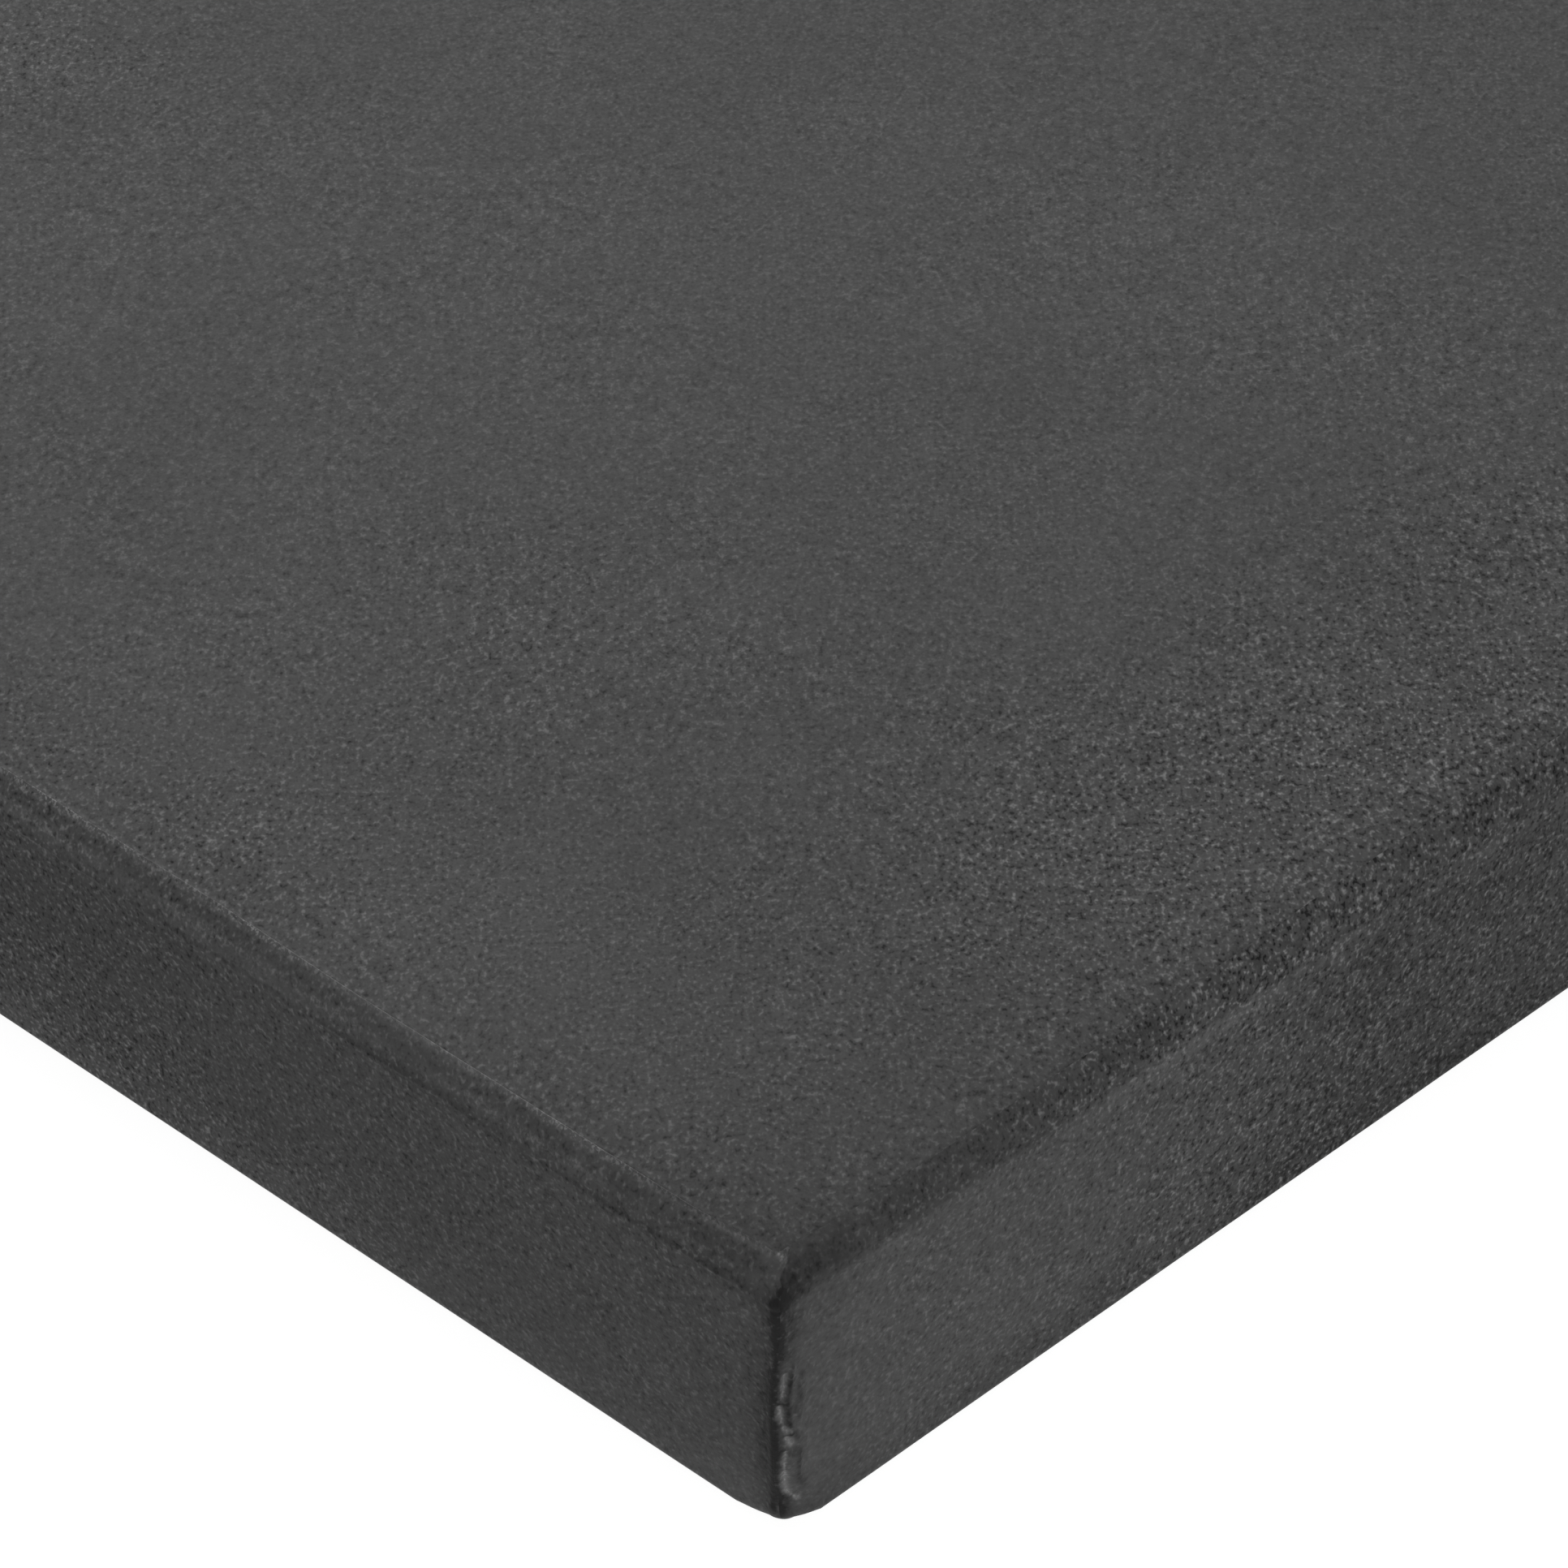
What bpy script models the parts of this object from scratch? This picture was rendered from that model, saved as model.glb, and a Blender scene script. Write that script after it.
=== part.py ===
"""Full-size futon mattress with a zip-off velour cover, in metres, +Z up.

The mattress lies flat: X runs along its long side, Y from the front edge to the rear edge, and the origin is
on the floor under its middle.  It folds in half about a line along X, so everything that crosses that line is
made as a seat half (front, -Y) and a back half (rear, +Y).
"""

import math

import bmesh
import bpy
from mathutils import Matrix, Vector

# Whole mattress
LENGTH = 1.905
WIDTH = 1.372
THICKNESS = 0.152
CORNER_RADIUS = 0.018  # upright corners, seen from above
SHOULDER_RADIUS = 0.016  # where the boxing rolls over to the top panel
BASE_RADIUS = 0.008  # where it turns under to the bottom panel, pressed flatter by the weight above
CORNER_STEPS = 7  # odd, so that a corner seam runs up the middle of a facet
SHOULDER_STEPS = 5

# Sheets and clearances
COVER_SHEET = 0.0015
LINER_SHEET = 0.0008
GAP = 0.0003  # between neighbours that touch
SEAM_GAP = 0.0006  # between a panel and the rolled edge of the boxing it is sewn to
ZIP_ROOM = 0.0032  # extra space behind the rear boxing for the zip

# Fill, from the top down
FIBRE_PAD = 0.010
COMFORT_FOAM = 0.030
BASE_FOAM = 0.030

# Zip, in the rear boxing
ZIP_SLOT_LENGTH = 1.740
ZIP_SLOT_HEIGHT = 0.012
TAPE_SHEET = 0.0006
TAPE_WIDTH = 0.016
TAPE_TUCK = 0.010  # how far each end of the tape runs on behind the boxing
COIL_WIDTH = 0.0024
COIL_DEPTH = 0.0016
COIL_SPLIT = 0.0012  # between the two coils
STOP_LENGTH = 0.003
STOP_INSET = 0.0025

# Zip slider and pull
SLIDER_LENGTH = 0.011
SLIDER_WIDTH = 0.0092
PLATE = 0.001
POST = 0.0006
POST_LENGTH = 0.003
FLANGE = 0.001
SLIDER_CLEARANCE = 0.0005  # from the slider to the stop at its closed end
BRIDGE_WIDTH = 0.002
BRIDGE_LEG = 0.0012
BRIDGE_HOLE = (0.004, 0.002)  # along the zip, and outwards
BRIDGE_BAR = 0.001
PULL_SHEET = 0.0012
PULL_WIDTH = 0.007
PULL_LENGTH = 0.028
PULL_ARM = 0.0012
PULL_WINDOW = 0.0046
HINGE_STANDOFF = 0.001  # from the slider's outer plate to the middle of the pull's bar

# Care label, sewn into the upright seam at one end of the zip
LABEL_SIZE = (0.045, 0.035)
LABEL_SHEET = 0.0008
LABEL_STANDOFF = 0.0004
LABEL_ABOVE_ZIP = 0.014

HALF_LENGTH = LENGTH / 2
HALF_WIDTH = WIDTH / 2
MID_HEIGHT = THICKNESS / 2
LINER_INSET = COVER_SHEET + GAP
FILL_INSET = LINER_INSET + LINER_SHEET + GAP
SLOT_END = ZIP_SLOT_LENGTH / 2
TAPE_FACE = HALF_WIDTH - COVER_SHEET - GAP  # outer face of the zip's tape
COIL_FACE = TAPE_FACE + GAP  # where the coil sits on the tape
HALVES = {"seat": -1, "back": 1}

COLOURS = {
    "cover_velour": ((0.072, 0.072, 0.072), 0.95, 0.0),
    "liner_cloth": ((0.70, 0.69, 0.66), 0.9, 0.0),
    "fibre_wadding": ((0.86, 0.86, 0.84), 0.95, 0.0),
    "comfort_foam": ((0.80, 0.84, 0.88), 0.9, 0.0),
    "support_foam": ((0.90, 0.86, 0.70), 0.9, 0.0),
    "zip_tape": ((0.030, 0.030, 0.032), 0.85, 0.0),
    "zip_coil": ((0.022, 0.022, 0.024), 0.45, 0.0),
    "zip_metal": ((0.10, 0.10, 0.11), 0.35, 1.0),
    "label_satin": ((0.82, 0.82, 0.80), 0.6, 0.0),
}


def clear_scene():
    for obj in list(bpy.data.objects):
        bpy.data.objects.remove(obj)


def make_materials():
    made = {}
    for name, (colour, roughness, metallic) in COLOURS.items():
        material = bpy.data.materials.new(name)
        material.use_nodes = True
        shader = material.node_tree.nodes["Principled BSDF"]
        shader.inputs["Base Color"].default_value = (*colour, 1.0)
        shader.inputs["Roughness"].default_value = roughness
        shader.inputs["Metallic"].default_value = metallic
        made[name] = material
    return made


def bevel(bm, edges, radius, steps):
    bmesh.ops.bevel(
        bm, geom=edges, offset=radius, offset_type="OFFSET", segments=steps, profile=0.5, affect="EDGES"
    )


def rounded_block(low, high, corner_radius=0.0, top_radius=0.0, base_radius=0.0):
    """A block between two opposite corners: upright edges rounded first, then the top and bottom rims."""
    low, high = Vector(low), Vector(high)
    bm = bmesh.new()
    bmesh.ops.create_cube(bm, size=1.0, matrix=Matrix.LocRotScale((low + high) / 2, None, high - low))
    tall = (high.z - low.z) / 2
    if corner_radius:
        upright = [e for e in bm.edges if abs(e.verts[0].co.z - e.verts[1].co.z) > tall]
        bevel(bm, upright, corner_radius, CORNER_STEPS)
    for radius, level in ((top_radius, high.z), (base_radius, low.z)):
        if radius:
            rim = [e for e in bm.edges if all(abs(v.co.z - level) < 1e-6 for v in e.verts)]
            bevel(bm, rim, radius, SHOULDER_STEPS)
    return bm


def cut_away(bm, point, outwards, close=True):
    """Removes what lies beyond a plane, and closes the cut on a solid."""
    geom = bm.verts[:] + bm.edges[:] + bm.faces[:]
    cut = bmesh.ops.bisect_plane(
        bm, geom=geom, dist=1e-6, plane_co=point, plane_no=outwards, clear_outer=True
    )["geom_cut"]
    if close:
        bmesh.ops.contextual_create(bm, geom=[g for g in cut if isinstance(g, bmesh.types.BMEdge)])


def keep_half(bm, side, close=True):
    """Keeps the seat side (-1) or the back side (+1) of the fold."""
    cut_away(bm, (0, side * GAP / 2, 0), (0, -side, 0), close)


def add_object(name, bm, material, collection, sheet=0.0):
    """Makes the object; an open surface gets its thickness inwards from a Solidify modifier."""
    if not sheet:
        bmesh.ops.recalc_face_normals(bm, faces=bm.faces)
    mesh = bpy.data.meshes.new(name)
    bm.to_mesh(mesh)
    bm.free()
    mesh.materials.append(material)
    mesh.shade_smooth()
    mesh.set_sharp_from_angle(angle=math.radians(35))
    obj = bpy.data.objects.new(name, mesh)
    collection.objects.link(obj)
    if sheet:
        solidify = obj.modifiers.new("thickness", "SOLIDIFY")
        solidify.thickness = sheet
        solidify.offset = -1.0
        solidify.use_even_offset = True
    return obj


def skin_corners(inset, rear_room=0.0):
    """Opposite corners of the mattress's outer block, taken in by inset."""
    low = (-HALF_LENGTH + inset, -HALF_WIDTH + inset, inset)
    high = (HALF_LENGTH - inset, HALF_WIDTH - inset - rear_room, THICKNESS - inset)
    return low, high


def mattress_block(inset, rear_room=0.0):
    """The mattress's whole rounded outer block, taken in by inset."""
    return rounded_block(
        *skin_corners(inset, rear_room),
        corner_radius=CORNER_RADIUS - inset,
        top_radius=SHOULDER_RADIUS - inset,
        base_radius=BASE_RADIUS - inset,
    )


def boxing_skin(inset, rear_room=0.0):
    """The rolled boxing, all the way round, as an open surface: the outer block without its flat top and bottom."""
    bm = mattress_block(inset, rear_room)
    flat = [f for f in bm.faces if abs(f.normal.z) > 0.999]
    bmesh.ops.delete(bm, geom=flat, context="FACES")
    return bm


def mitre(bm, x_side, y_side, keep_x_boxing):
    """Cuts the boxing at an upright corner seam, on the line at 45 degrees, and keeps one of its two runs."""
    corner = Vector((x_side * HALF_LENGTH, y_side * HALF_WIDTH, 0))
    outwards = Vector((-x_side, y_side, 0)).normalized()
    if not keep_x_boxing:
        outwards = -outwards
    cut_away(bm, corner - outwards * GAP / 2, outwards, close=False)


def flat_panel(name, half, inset, sheet, at_top, rear_room, material, collection):
    """One half of a flat top or bottom panel, inside the rolled edge of the boxing."""
    reach = (SHOULDER_RADIUS if at_top else BASE_RADIUS) + SEAM_GAP
    low, high = skin_corners(inset, rear_room)
    edge = reach - inset
    z_low = high[2] - sheet if at_top else low[2]
    bm = rounded_block(
        (low[0] + edge, low[1] + edge, z_low),
        (high[0] - edge, high[1] - edge, z_low + sheet),
        corner_radius=CORNER_RADIUS - reach,
    )
    keep_half(bm, HALVES[half])
    return add_object(f"{name}_{half}", bm, material, collection)


def make_cover_panels(materials, collection):
    for half in HALVES:
        for name, at_top in (("top_cover", True), ("bottom_cover", False)):
            flat_panel(name, half, 0.0, COVER_SHEET, at_top, 0.0, materials["cover_velour"], collection)


def make_end_boxings(materials, collection):
    """The left and right boxings, each in a seat half and a back half."""
    for x_name, x_side in (("left", -1), ("right", 1)):
        for half, y_side in HALVES.items():
            bm = boxing_skin(0.0)
            mitre(bm, x_side, y_side, keep_x_boxing=True)
            cut_away(bm, (0, 0, 0), (-x_side, 0, 0), close=False)
            keep_half(bm, y_side, close=False)
            add_object(f"{x_name}_boxing_{half}", bm, materials["cover_velour"], collection, COVER_SHEET)


def long_boxing_skin(y_side):
    """The whole front or rear boxing, between its two corner seams."""
    bm = boxing_skin(0.0)
    for x_side in (-1, 1):
        mitre(bm, x_side, y_side, keep_x_boxing=False)
    cut_away(bm, (0, 0, 0), (0, -y_side, 0), close=False)
    return bm


def make_front_boxing(materials, collection):
    add_object("front_boxing", long_boxing_skin(-1), materials["cover_velour"], collection, COVER_SHEET)


def make_rear_boxing(materials, collection):
    """Two strips with the zip between them, and a full-height piece at each end of the zip."""
    velour = materials["cover_velour"]
    for name, z_side in (("upper", 1), ("lower", -1)):
        bm = long_boxing_skin(1)
        edge = MID_HEIGHT + z_side * ZIP_SLOT_HEIGHT / 2
        cut_away(bm, (0, 0, edge), (0, 0, -z_side), close=False)
        for x_side in (-1, 1):
            cut_away(bm, (x_side * (SLOT_END - GAP / 2), 0, 0), (x_side, 0, 0), close=False)
        add_object(f"rear_boxing_{name}", bm, velour, collection, COVER_SHEET)
    for name, x_side in (("left", -1), ("right", 1)):
        bm = long_boxing_skin(1)
        cut_away(bm, (x_side * (SLOT_END + GAP / 2), 0, 0), (-x_side, 0, 0), close=False)
        add_object(f"rear_boxing_{name}_end", bm, velour, collection, COVER_SHEET)


def make_liner(materials, collection):
    """The inner bag that holds the fill together when the cover is off."""
    cloth = materials["liner_cloth"]
    for half, y_side in HALVES.items():
        for name, at_top in (("liner_top", True), ("liner_bottom", False)):
            flat_panel(name, half, LINER_INSET, LINER_SHEET, at_top, ZIP_ROOM, cloth, collection)
        bm = boxing_skin(LINER_INSET, ZIP_ROOM)
        keep_half(bm, y_side, close=False)
        add_object(f"liner_border_{half}", bm, cloth, collection, LINER_SHEET)


def make_fill(materials, collection):
    """Five layers cut from one rounded block, so that they nest inside the liner."""
    low, high = skin_corners(FILL_INSET, ZIP_ROOM)
    core = high[2] - low[2] - 2 * FIBRE_PAD - COMFORT_FOAM - BASE_FOAM - 4 * GAP
    layers = (
        ("fibre_pad_bottom", FIBRE_PAD, "fibre_wadding"),
        ("base_foam", BASE_FOAM, "support_foam"),
        ("core_foam", core, "support_foam"),
        ("comfort_foam", COMFORT_FOAM, "comfort_foam"),
        ("fibre_pad_top", FIBRE_PAD, "fibre_wadding"),
    )
    for half, y_side in HALVES.items():
        z = low[2]
        for name, thickness, material in layers:
            bm = mattress_block(FILL_INSET, ZIP_ROOM)
            keep_half(bm, y_side)
            if z > low[2]:
                cut_away(bm, (0, 0, z), (0, 0, -1))
            if z + thickness < high[2] - GAP:
                cut_away(bm, (0, 0, z + thickness), (0, 0, 1))
            add_object(f"{name}_{half}", bm, materials[material], collection)
            z += thickness + GAP


def make_zip(materials, collection):
    """Tapes behind the boxing, coils in the slot, and a stop at each end."""
    coil_end = SLOT_END - STOP_INSET - STOP_LENGTH - GAP
    for name, z_side in (("upper", 1), ("lower", -1)):
        inner = MID_HEIGHT + z_side * COIL_SPLIT / 2
        outer = inner + z_side * TAPE_WIDTH
        reach = SLOT_END + TAPE_TUCK
        bm = rounded_block(
            (-reach, TAPE_FACE - TAPE_SHEET, min(inner, outer)), (reach, TAPE_FACE, max(inner, outer))
        )
        add_object(f"zip_tape_{name}", bm, materials["zip_tape"], collection)
        outer = inner + z_side * COIL_WIDTH
        bm = rounded_block(
            (-coil_end, COIL_FACE, min(inner, outer)),
            (coil_end, COIL_FACE + COIL_DEPTH, max(inner, outer)),
        )
        along = [e for e in bm.edges if abs(e.verts[0].co.x - e.verts[1].co.x) > coil_end]
        bevel(bm, along, COIL_DEPTH / 4, 2)
        add_object(f"zip_coil_{name}", bm, materials["zip_coil"], collection)
    for name, x_side in (("left", -1), ("right", 1)):
        near = x_side * (SLOT_END - STOP_INSET)
        far = near - x_side * STOP_LENGTH
        half_height = COIL_SPLIT / 2 + COIL_WIDTH
        bm = rounded_block(
            (min(near, far), COIL_FACE, MID_HEIGHT - half_height),
            (max(near, far), COIL_FACE + COIL_DEPTH, MID_HEIGHT + half_height),
        )
        bevel(bm, bm.edges[:], COIL_DEPTH / 5, 2)
        add_object(f"zip_stop_{name}", bm, materials["zip_metal"], collection)


def box_object(name, low, high, collection, chamfer=0.0):
    bm = rounded_block(low, high)
    if chamfer:
        bevel(bm, bm.edges[:], chamfer, 2)
    mesh = bpy.data.meshes.new(name)
    bm.to_mesh(mesh)
    bm.free()
    obj = bpy.data.objects.new(name, mesh)
    collection.objects.link(obj)
    return obj


def combine(base, others, operation, helpers):
    """Boolean modifiers on base, with the other shapes kept as hidden helpers."""
    for other in others:
        modifier = base.modifiers.new(other.name, "BOOLEAN")
        modifier.operation = operation
        modifier.object = other
        other.hide_render = True
        other.display_type = "WIRE"
        for collection in other.users_collection:
            collection.objects.unlink(other)
        helpers.objects.link(other)


def slider_home():
    """Where the slider's middle is along X with the zip closed."""
    return SLOT_END - STOP_INSET - STOP_LENGTH - SLIDER_CLEARANCE - SLIDER_LENGTH / 2


def make_slider(materials, collection, helpers):
    """Two plates joined by a thin post between the coils, with flanges and a bridge for the pull."""
    x = slider_home()
    outer_plate = COIL_FACE + COIL_DEPTH + GAP
    inner_plate = TAPE_FACE - TAPE_SHEET - GAP
    z_low, z_high = MID_HEIGHT - SLIDER_WIDTH / 2, MID_HEIGHT + SLIDER_WIDTH / 2
    x_low, x_high = x - SLIDER_LENGTH / 2, x + SLIDER_LENGTH / 2
    slider = box_object(
        "zip_slider",
        (x_low, outer_plate, z_low),
        (x_high, outer_plate + PLATE, z_high),
        collection,
        PLATE / 4,
    )
    overlap = PLATE / 2
    parts = [
        box_object(
            "slider_inner_plate",
            (x_low, inner_plate - PLATE, z_low),
            (x_high, inner_plate, z_high),
            collection,
            PLATE / 4,
        ),
        box_object(
            "slider_post",
            (x_high - POST_LENGTH - PLATE, inner_plate - overlap, MID_HEIGHT - POST / 2),
            (x_high - PLATE, outer_plate + overlap, MID_HEIGHT + POST / 2),
            collection,
        ),
    ]
    for z_side in (-1, 1):
        z_outer = MID_HEIGHT + z_side * (SLIDER_WIDTH / 2 - PLATE / 4)
        z_inner = z_outer - z_side * FLANGE
        parts.append(
            box_object(
                f"slider_flange_{z_side}",
                (x_low + PLATE, TAPE_FACE + GAP, min(z_inner, z_outer)),
                (x_high - PLATE, outer_plate + overlap, max(z_inner, z_outer)),
                collection,
            )
        )
    hole_x, hole_y = BRIDGE_HOLE
    plate_face = outer_plate + PLATE
    parts.append(
        box_object(
            "slider_bridge",
            (x - hole_x / 2 - BRIDGE_LEG, plate_face - overlap, MID_HEIGHT - BRIDGE_WIDTH / 2),
            (x + hole_x / 2 + BRIDGE_LEG, plate_face + hole_y + BRIDGE_BAR, MID_HEIGHT + BRIDGE_WIDTH / 2),
            collection,
            PLATE / 4,
        )
    )
    combine(slider, parts, "UNION", helpers)
    hole = box_object(
        "slider_bridge_hole",
        (x - hole_x / 2, plate_face, MID_HEIGHT - BRIDGE_WIDTH),
        (x + hole_x / 2, plate_face + hole_y, MID_HEIGHT + BRIDGE_WIDTH),
        collection,
    )
    combine(slider, [hole], "DIFFERENCE", helpers)
    slider.data.materials.append(materials["zip_metal"])
    return plate_face + HINGE_STANDOFF


def make_pull(materials, collection, helpers, hinge_y):
    """A flat tab with a window: its end bar runs through the slider's bridge."""
    x = slider_home()
    thin = PULL_SHEET / 2
    z_low, z_high = MID_HEIGHT - PULL_WIDTH / 2, MID_HEIGHT + PULL_WIDTH / 2
    pull = box_object(
        "zip_pull", (x - PULL_LENGTH, hinge_y - thin, z_low), (x + thin, hinge_y + thin, z_high), collection
    )
    rounded = pull.modifiers.new("rounded_corners", "BEVEL")
    rounded.width = PULL_SHEET / 4
    rounded.segments = 2
    window = box_object(
        "pull_window",
        (x - thin - PULL_WINDOW, hinge_y - PULL_SHEET, z_low + PULL_ARM),
        (x - thin, hinge_y + PULL_SHEET, z_high - PULL_ARM),
        collection,
    )
    combine(pull, [window], "DIFFERENCE", helpers)
    pull.data.materials.append(materials["zip_metal"])


def make_label(materials, collection):
    """A blank folded label, lying on the boxing beside the seam that holds it."""
    long, high = LABEL_SIZE
    y = HALF_WIDTH + LABEL_STANDOFF
    z = MID_HEIGHT + LABEL_ABOVE_ZIP
    bm = rounded_block((-SLOT_END - long, y, z), (-SLOT_END, y + LABEL_SHEET, z + high))
    add_object("care_label", bm, materials["label_satin"], collection)


def main():
    clear_scene()
    materials = make_materials()
    mattress = bpy.data.collections.new("futon_mattress")
    helpers = bpy.data.collections.new("helpers")
    for collection in (mattress, helpers):
        bpy.context.scene.collection.children.link(collection)
    make_cover_panels(materials, mattress)
    make_end_boxings(materials, mattress)
    make_front_boxing(materials, mattress)
    make_rear_boxing(materials, mattress)
    make_liner(materials, mattress)
    make_fill(materials, mattress)
    make_zip(materials, mattress)
    hinge_y = make_slider(materials, mattress, helpers)
    make_pull(materials, mattress, helpers, hinge_y)
    make_label(materials, mattress)


main()
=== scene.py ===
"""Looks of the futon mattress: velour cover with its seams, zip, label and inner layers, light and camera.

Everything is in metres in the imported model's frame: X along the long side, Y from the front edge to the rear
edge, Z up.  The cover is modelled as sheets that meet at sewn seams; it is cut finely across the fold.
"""

import math

import bmesh
import bpy
import numpy as np
from mathutils import Matrix, Vector

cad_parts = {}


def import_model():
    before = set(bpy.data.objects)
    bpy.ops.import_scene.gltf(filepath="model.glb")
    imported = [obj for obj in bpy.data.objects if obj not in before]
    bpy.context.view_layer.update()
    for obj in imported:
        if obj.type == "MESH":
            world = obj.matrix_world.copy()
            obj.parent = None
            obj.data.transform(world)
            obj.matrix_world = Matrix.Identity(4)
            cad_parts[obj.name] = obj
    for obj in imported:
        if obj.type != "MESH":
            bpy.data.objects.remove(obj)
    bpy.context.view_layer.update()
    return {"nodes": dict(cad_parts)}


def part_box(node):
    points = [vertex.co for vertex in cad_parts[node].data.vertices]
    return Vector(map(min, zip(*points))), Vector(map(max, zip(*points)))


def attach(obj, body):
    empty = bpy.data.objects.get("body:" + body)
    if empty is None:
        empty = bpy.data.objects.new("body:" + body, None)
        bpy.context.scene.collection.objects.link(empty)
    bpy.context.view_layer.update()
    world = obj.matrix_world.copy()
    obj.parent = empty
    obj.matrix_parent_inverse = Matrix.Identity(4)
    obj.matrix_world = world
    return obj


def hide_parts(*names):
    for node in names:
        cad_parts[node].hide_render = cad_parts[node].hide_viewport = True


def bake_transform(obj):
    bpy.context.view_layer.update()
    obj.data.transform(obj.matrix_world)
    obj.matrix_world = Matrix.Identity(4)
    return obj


# The mattress, as in the CAD
LENGTH = 1.905
WIDTH = 1.372
THICKNESS = 0.152
HALF_LENGTH = LENGTH / 2
HALF_WIDTH = WIDTH / 2
CLOTH = 0.0015

# Shape of the cover's edge: the shoulder band lies between the panel seam and the crease below it
CORNER_RADIUS = 0.008
SHOULDER = 0.016
SHOULDER_BULGE = 0.0026
CREASE_ROUND = 0.0012
LEAST_RADIUS = 0.0012
BASE_TURN = 0.005
BASE_SEAM_INSET = 0.0056
CORNER_ZONE = 0.014  # length of outline, each way from a corner, that bends round it
CORNER_REACH = 0.034  # length beside an upright seam that gets close columns
# The lowest part of each upright corner is drawn in by the seam under it
TUCK_HEIGHT = 0.050
TUCK_FRONT = (0.0035, 0.033)  # how far the long side draws in there, and over what length
TUCK_END = (0.0060, 0.024)  # the same for the end side
TUCK_LIFT = 0.0066  # how far the corner's lowest point is drawn up off the floor
# The upright seam: distance down the boxing, and how far past the long side's end it is there, in mm.
# It starts round the corner, comes back to it at the crease, and leans to the long side lower down.
SEAM_PATH = (
    (0, 21), (5.6, 18.6), (10, 14), (14, 5), (18, 1.6), (36, 0.4), (55, -2.7), (66, -4.9),
    (80, -7.0), (110, -7.0), (122, -6.6), (132, -4.6), (142, -2.0), (156, -1.2),
)
SEAM_EASE = 0.002
SEAM_DEPTH = 0.0018
SEAM_WIDTH = 0.0008
SEAM_HALF_GAP = 0.0003
UPRIGHT_LAP = 0.0004  # how far each boxing runs on past the middle of an upright seam
SIDE_CROWN = 0.0012
TOP_CROWN = 0.0026

# The fold: soft pieces are cut finely over this width
FOLD_REACH = 0.05
FOLD_STEP = 0.005

# Rear zip
ZIP_HALF_LENGTH = 0.870
ZIP_SLOT_HALF_HEIGHT = 0.006
MID_HEIGHT = THICKNESS / 2
STITCH_INSET = 0.003
STITCH_PITCH = 0.0034
COIL_PITCH = 0.00125

# Cloth as it is cut
SEAM_ALLOWANCE = 0.008
TRIMMED_PANEL = (WIDTH - 0.012, LENGTH - 0.012)
BORDER_TURNING = 0.05

# Velour and light
VELOUR_COLOUR = (0.0475, 0.0475, 0.0475)
VELOUR_SHEEN = 0.07
PILE_LEAN = 1.45
PILE_TURN = math.radians(46)
FLOOR_GLOW = 0.93
FLOOR_COLOUR = 0.18
WORLD_LIGHT = 0.2
LAMPS = (
    ("overhead", (0.2, 0.3, 3.2), 2.6, 38.0),
    ("back_left", (-2.2, 1.8, 2.2), 2.0, 136.0),
    ("left", (-1.6, -0.3, 2.2), 1.6, 17.0),
    ("end_side", (3.4, -0.4, 1.6), 1.6, 5.0),
    ("corner_low", (2.2, -1.3, 0.7), 0.9, 10.5),
)

# Camera: placed from the perspective of the mattress's straight edges
CAMERA_AZIMUTH = 46.07
CAMERA_ELEVATION = 36.28
CAMERA_ROLL = -1.761
CAMERA_DISTANCE = 3.428
CAMERA_LENS = 159.93
CAMERA_AIM = (HALF_LENGTH - 0.267, -HALF_WIDTH + 0.271, THICKNESS)

FRONT, RIGHT, REAR, LEFT = range(4)


# -------- small maths


def bump(distance, width):
    """A smooth hill of height 1 and about that half-width."""
    return np.exp(-((distance / width) ** 2))


def smooth_step(value, low, high):
    t = np.clip((value - low) / (high - low), 0, 1)
    return t * t * (3 - 2 * t)


def waves(x, y, size, seed):
    """A smooth random field between -1 and 1 over two coordinates, with features about size across."""
    table = np.random.default_rng(seed).uniform(-1, 1, (61, 61))
    gx, gy = np.asarray(x) / size + 1000.0, np.asarray(y) / size + 1000.0
    ix, iy = np.floor(gx).astype(int), np.floor(gy).astype(int)
    fx, fy = gx - ix, gy - iy
    fx, fy = fx * fx * (3 - 2 * fx), fy * fy * (3 - 2 * fy)
    rows = len(table)

    def at_row(row):
        return table[ix % rows, row % rows] * (1 - fx) + table[(ix + 1) % rows, row % rows] * fx

    return at_row(iy) * (1 - fy) + at_row(iy + 1) * fy


def graded(low, high, fine_low, fine_high, coarse, growth=1.22):
    """Stations from low to high: steps start at fine_low, grow to coarse, and shrink again to fine_high."""
    middle = (low + high) / 2

    def half(start, fine, sign):
        stations, step = [start], fine
        while (middle - stations[-1]) * sign > step:
            stations.append(stations[-1] + sign * step)
            step = min(step * growth, coarse)
        return stations

    left, right = half(low, fine_low, 1), half(high, fine_high, -1)
    if right[-1] - left[-1] < min(fine_low, fine_high) / 2:
        right.pop()
    return np.array(left + right[::-1])


def with_fold(stations):
    """Adds close stations across the fold, and drops the ones they replace."""
    reach = FOLD_REACH + 2 * FOLD_STEP
    fold = np.arange(-reach, reach + FOLD_STEP / 2, FOLD_STEP)
    kept = stations[np.abs(stations) > reach + FOLD_STEP / 2]
    return np.sort(np.concatenate([kept, fold]))


# -------- meshes


def add_object(name, data):
    obj = bpy.data.objects.new(name, data)
    bpy.context.scene.collection.objects.link(obj)
    return obj


def mesh_object(name, points, faces, material, smooth=True):
    mesh = bpy.data.meshes.new(name)
    mesh.from_pydata([tuple(p) for p in points], [], faces)
    mesh.update()
    mesh.materials.append(material)
    if smooth:
        mesh.shade_smooth()
    return add_object(name, mesh)


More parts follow.
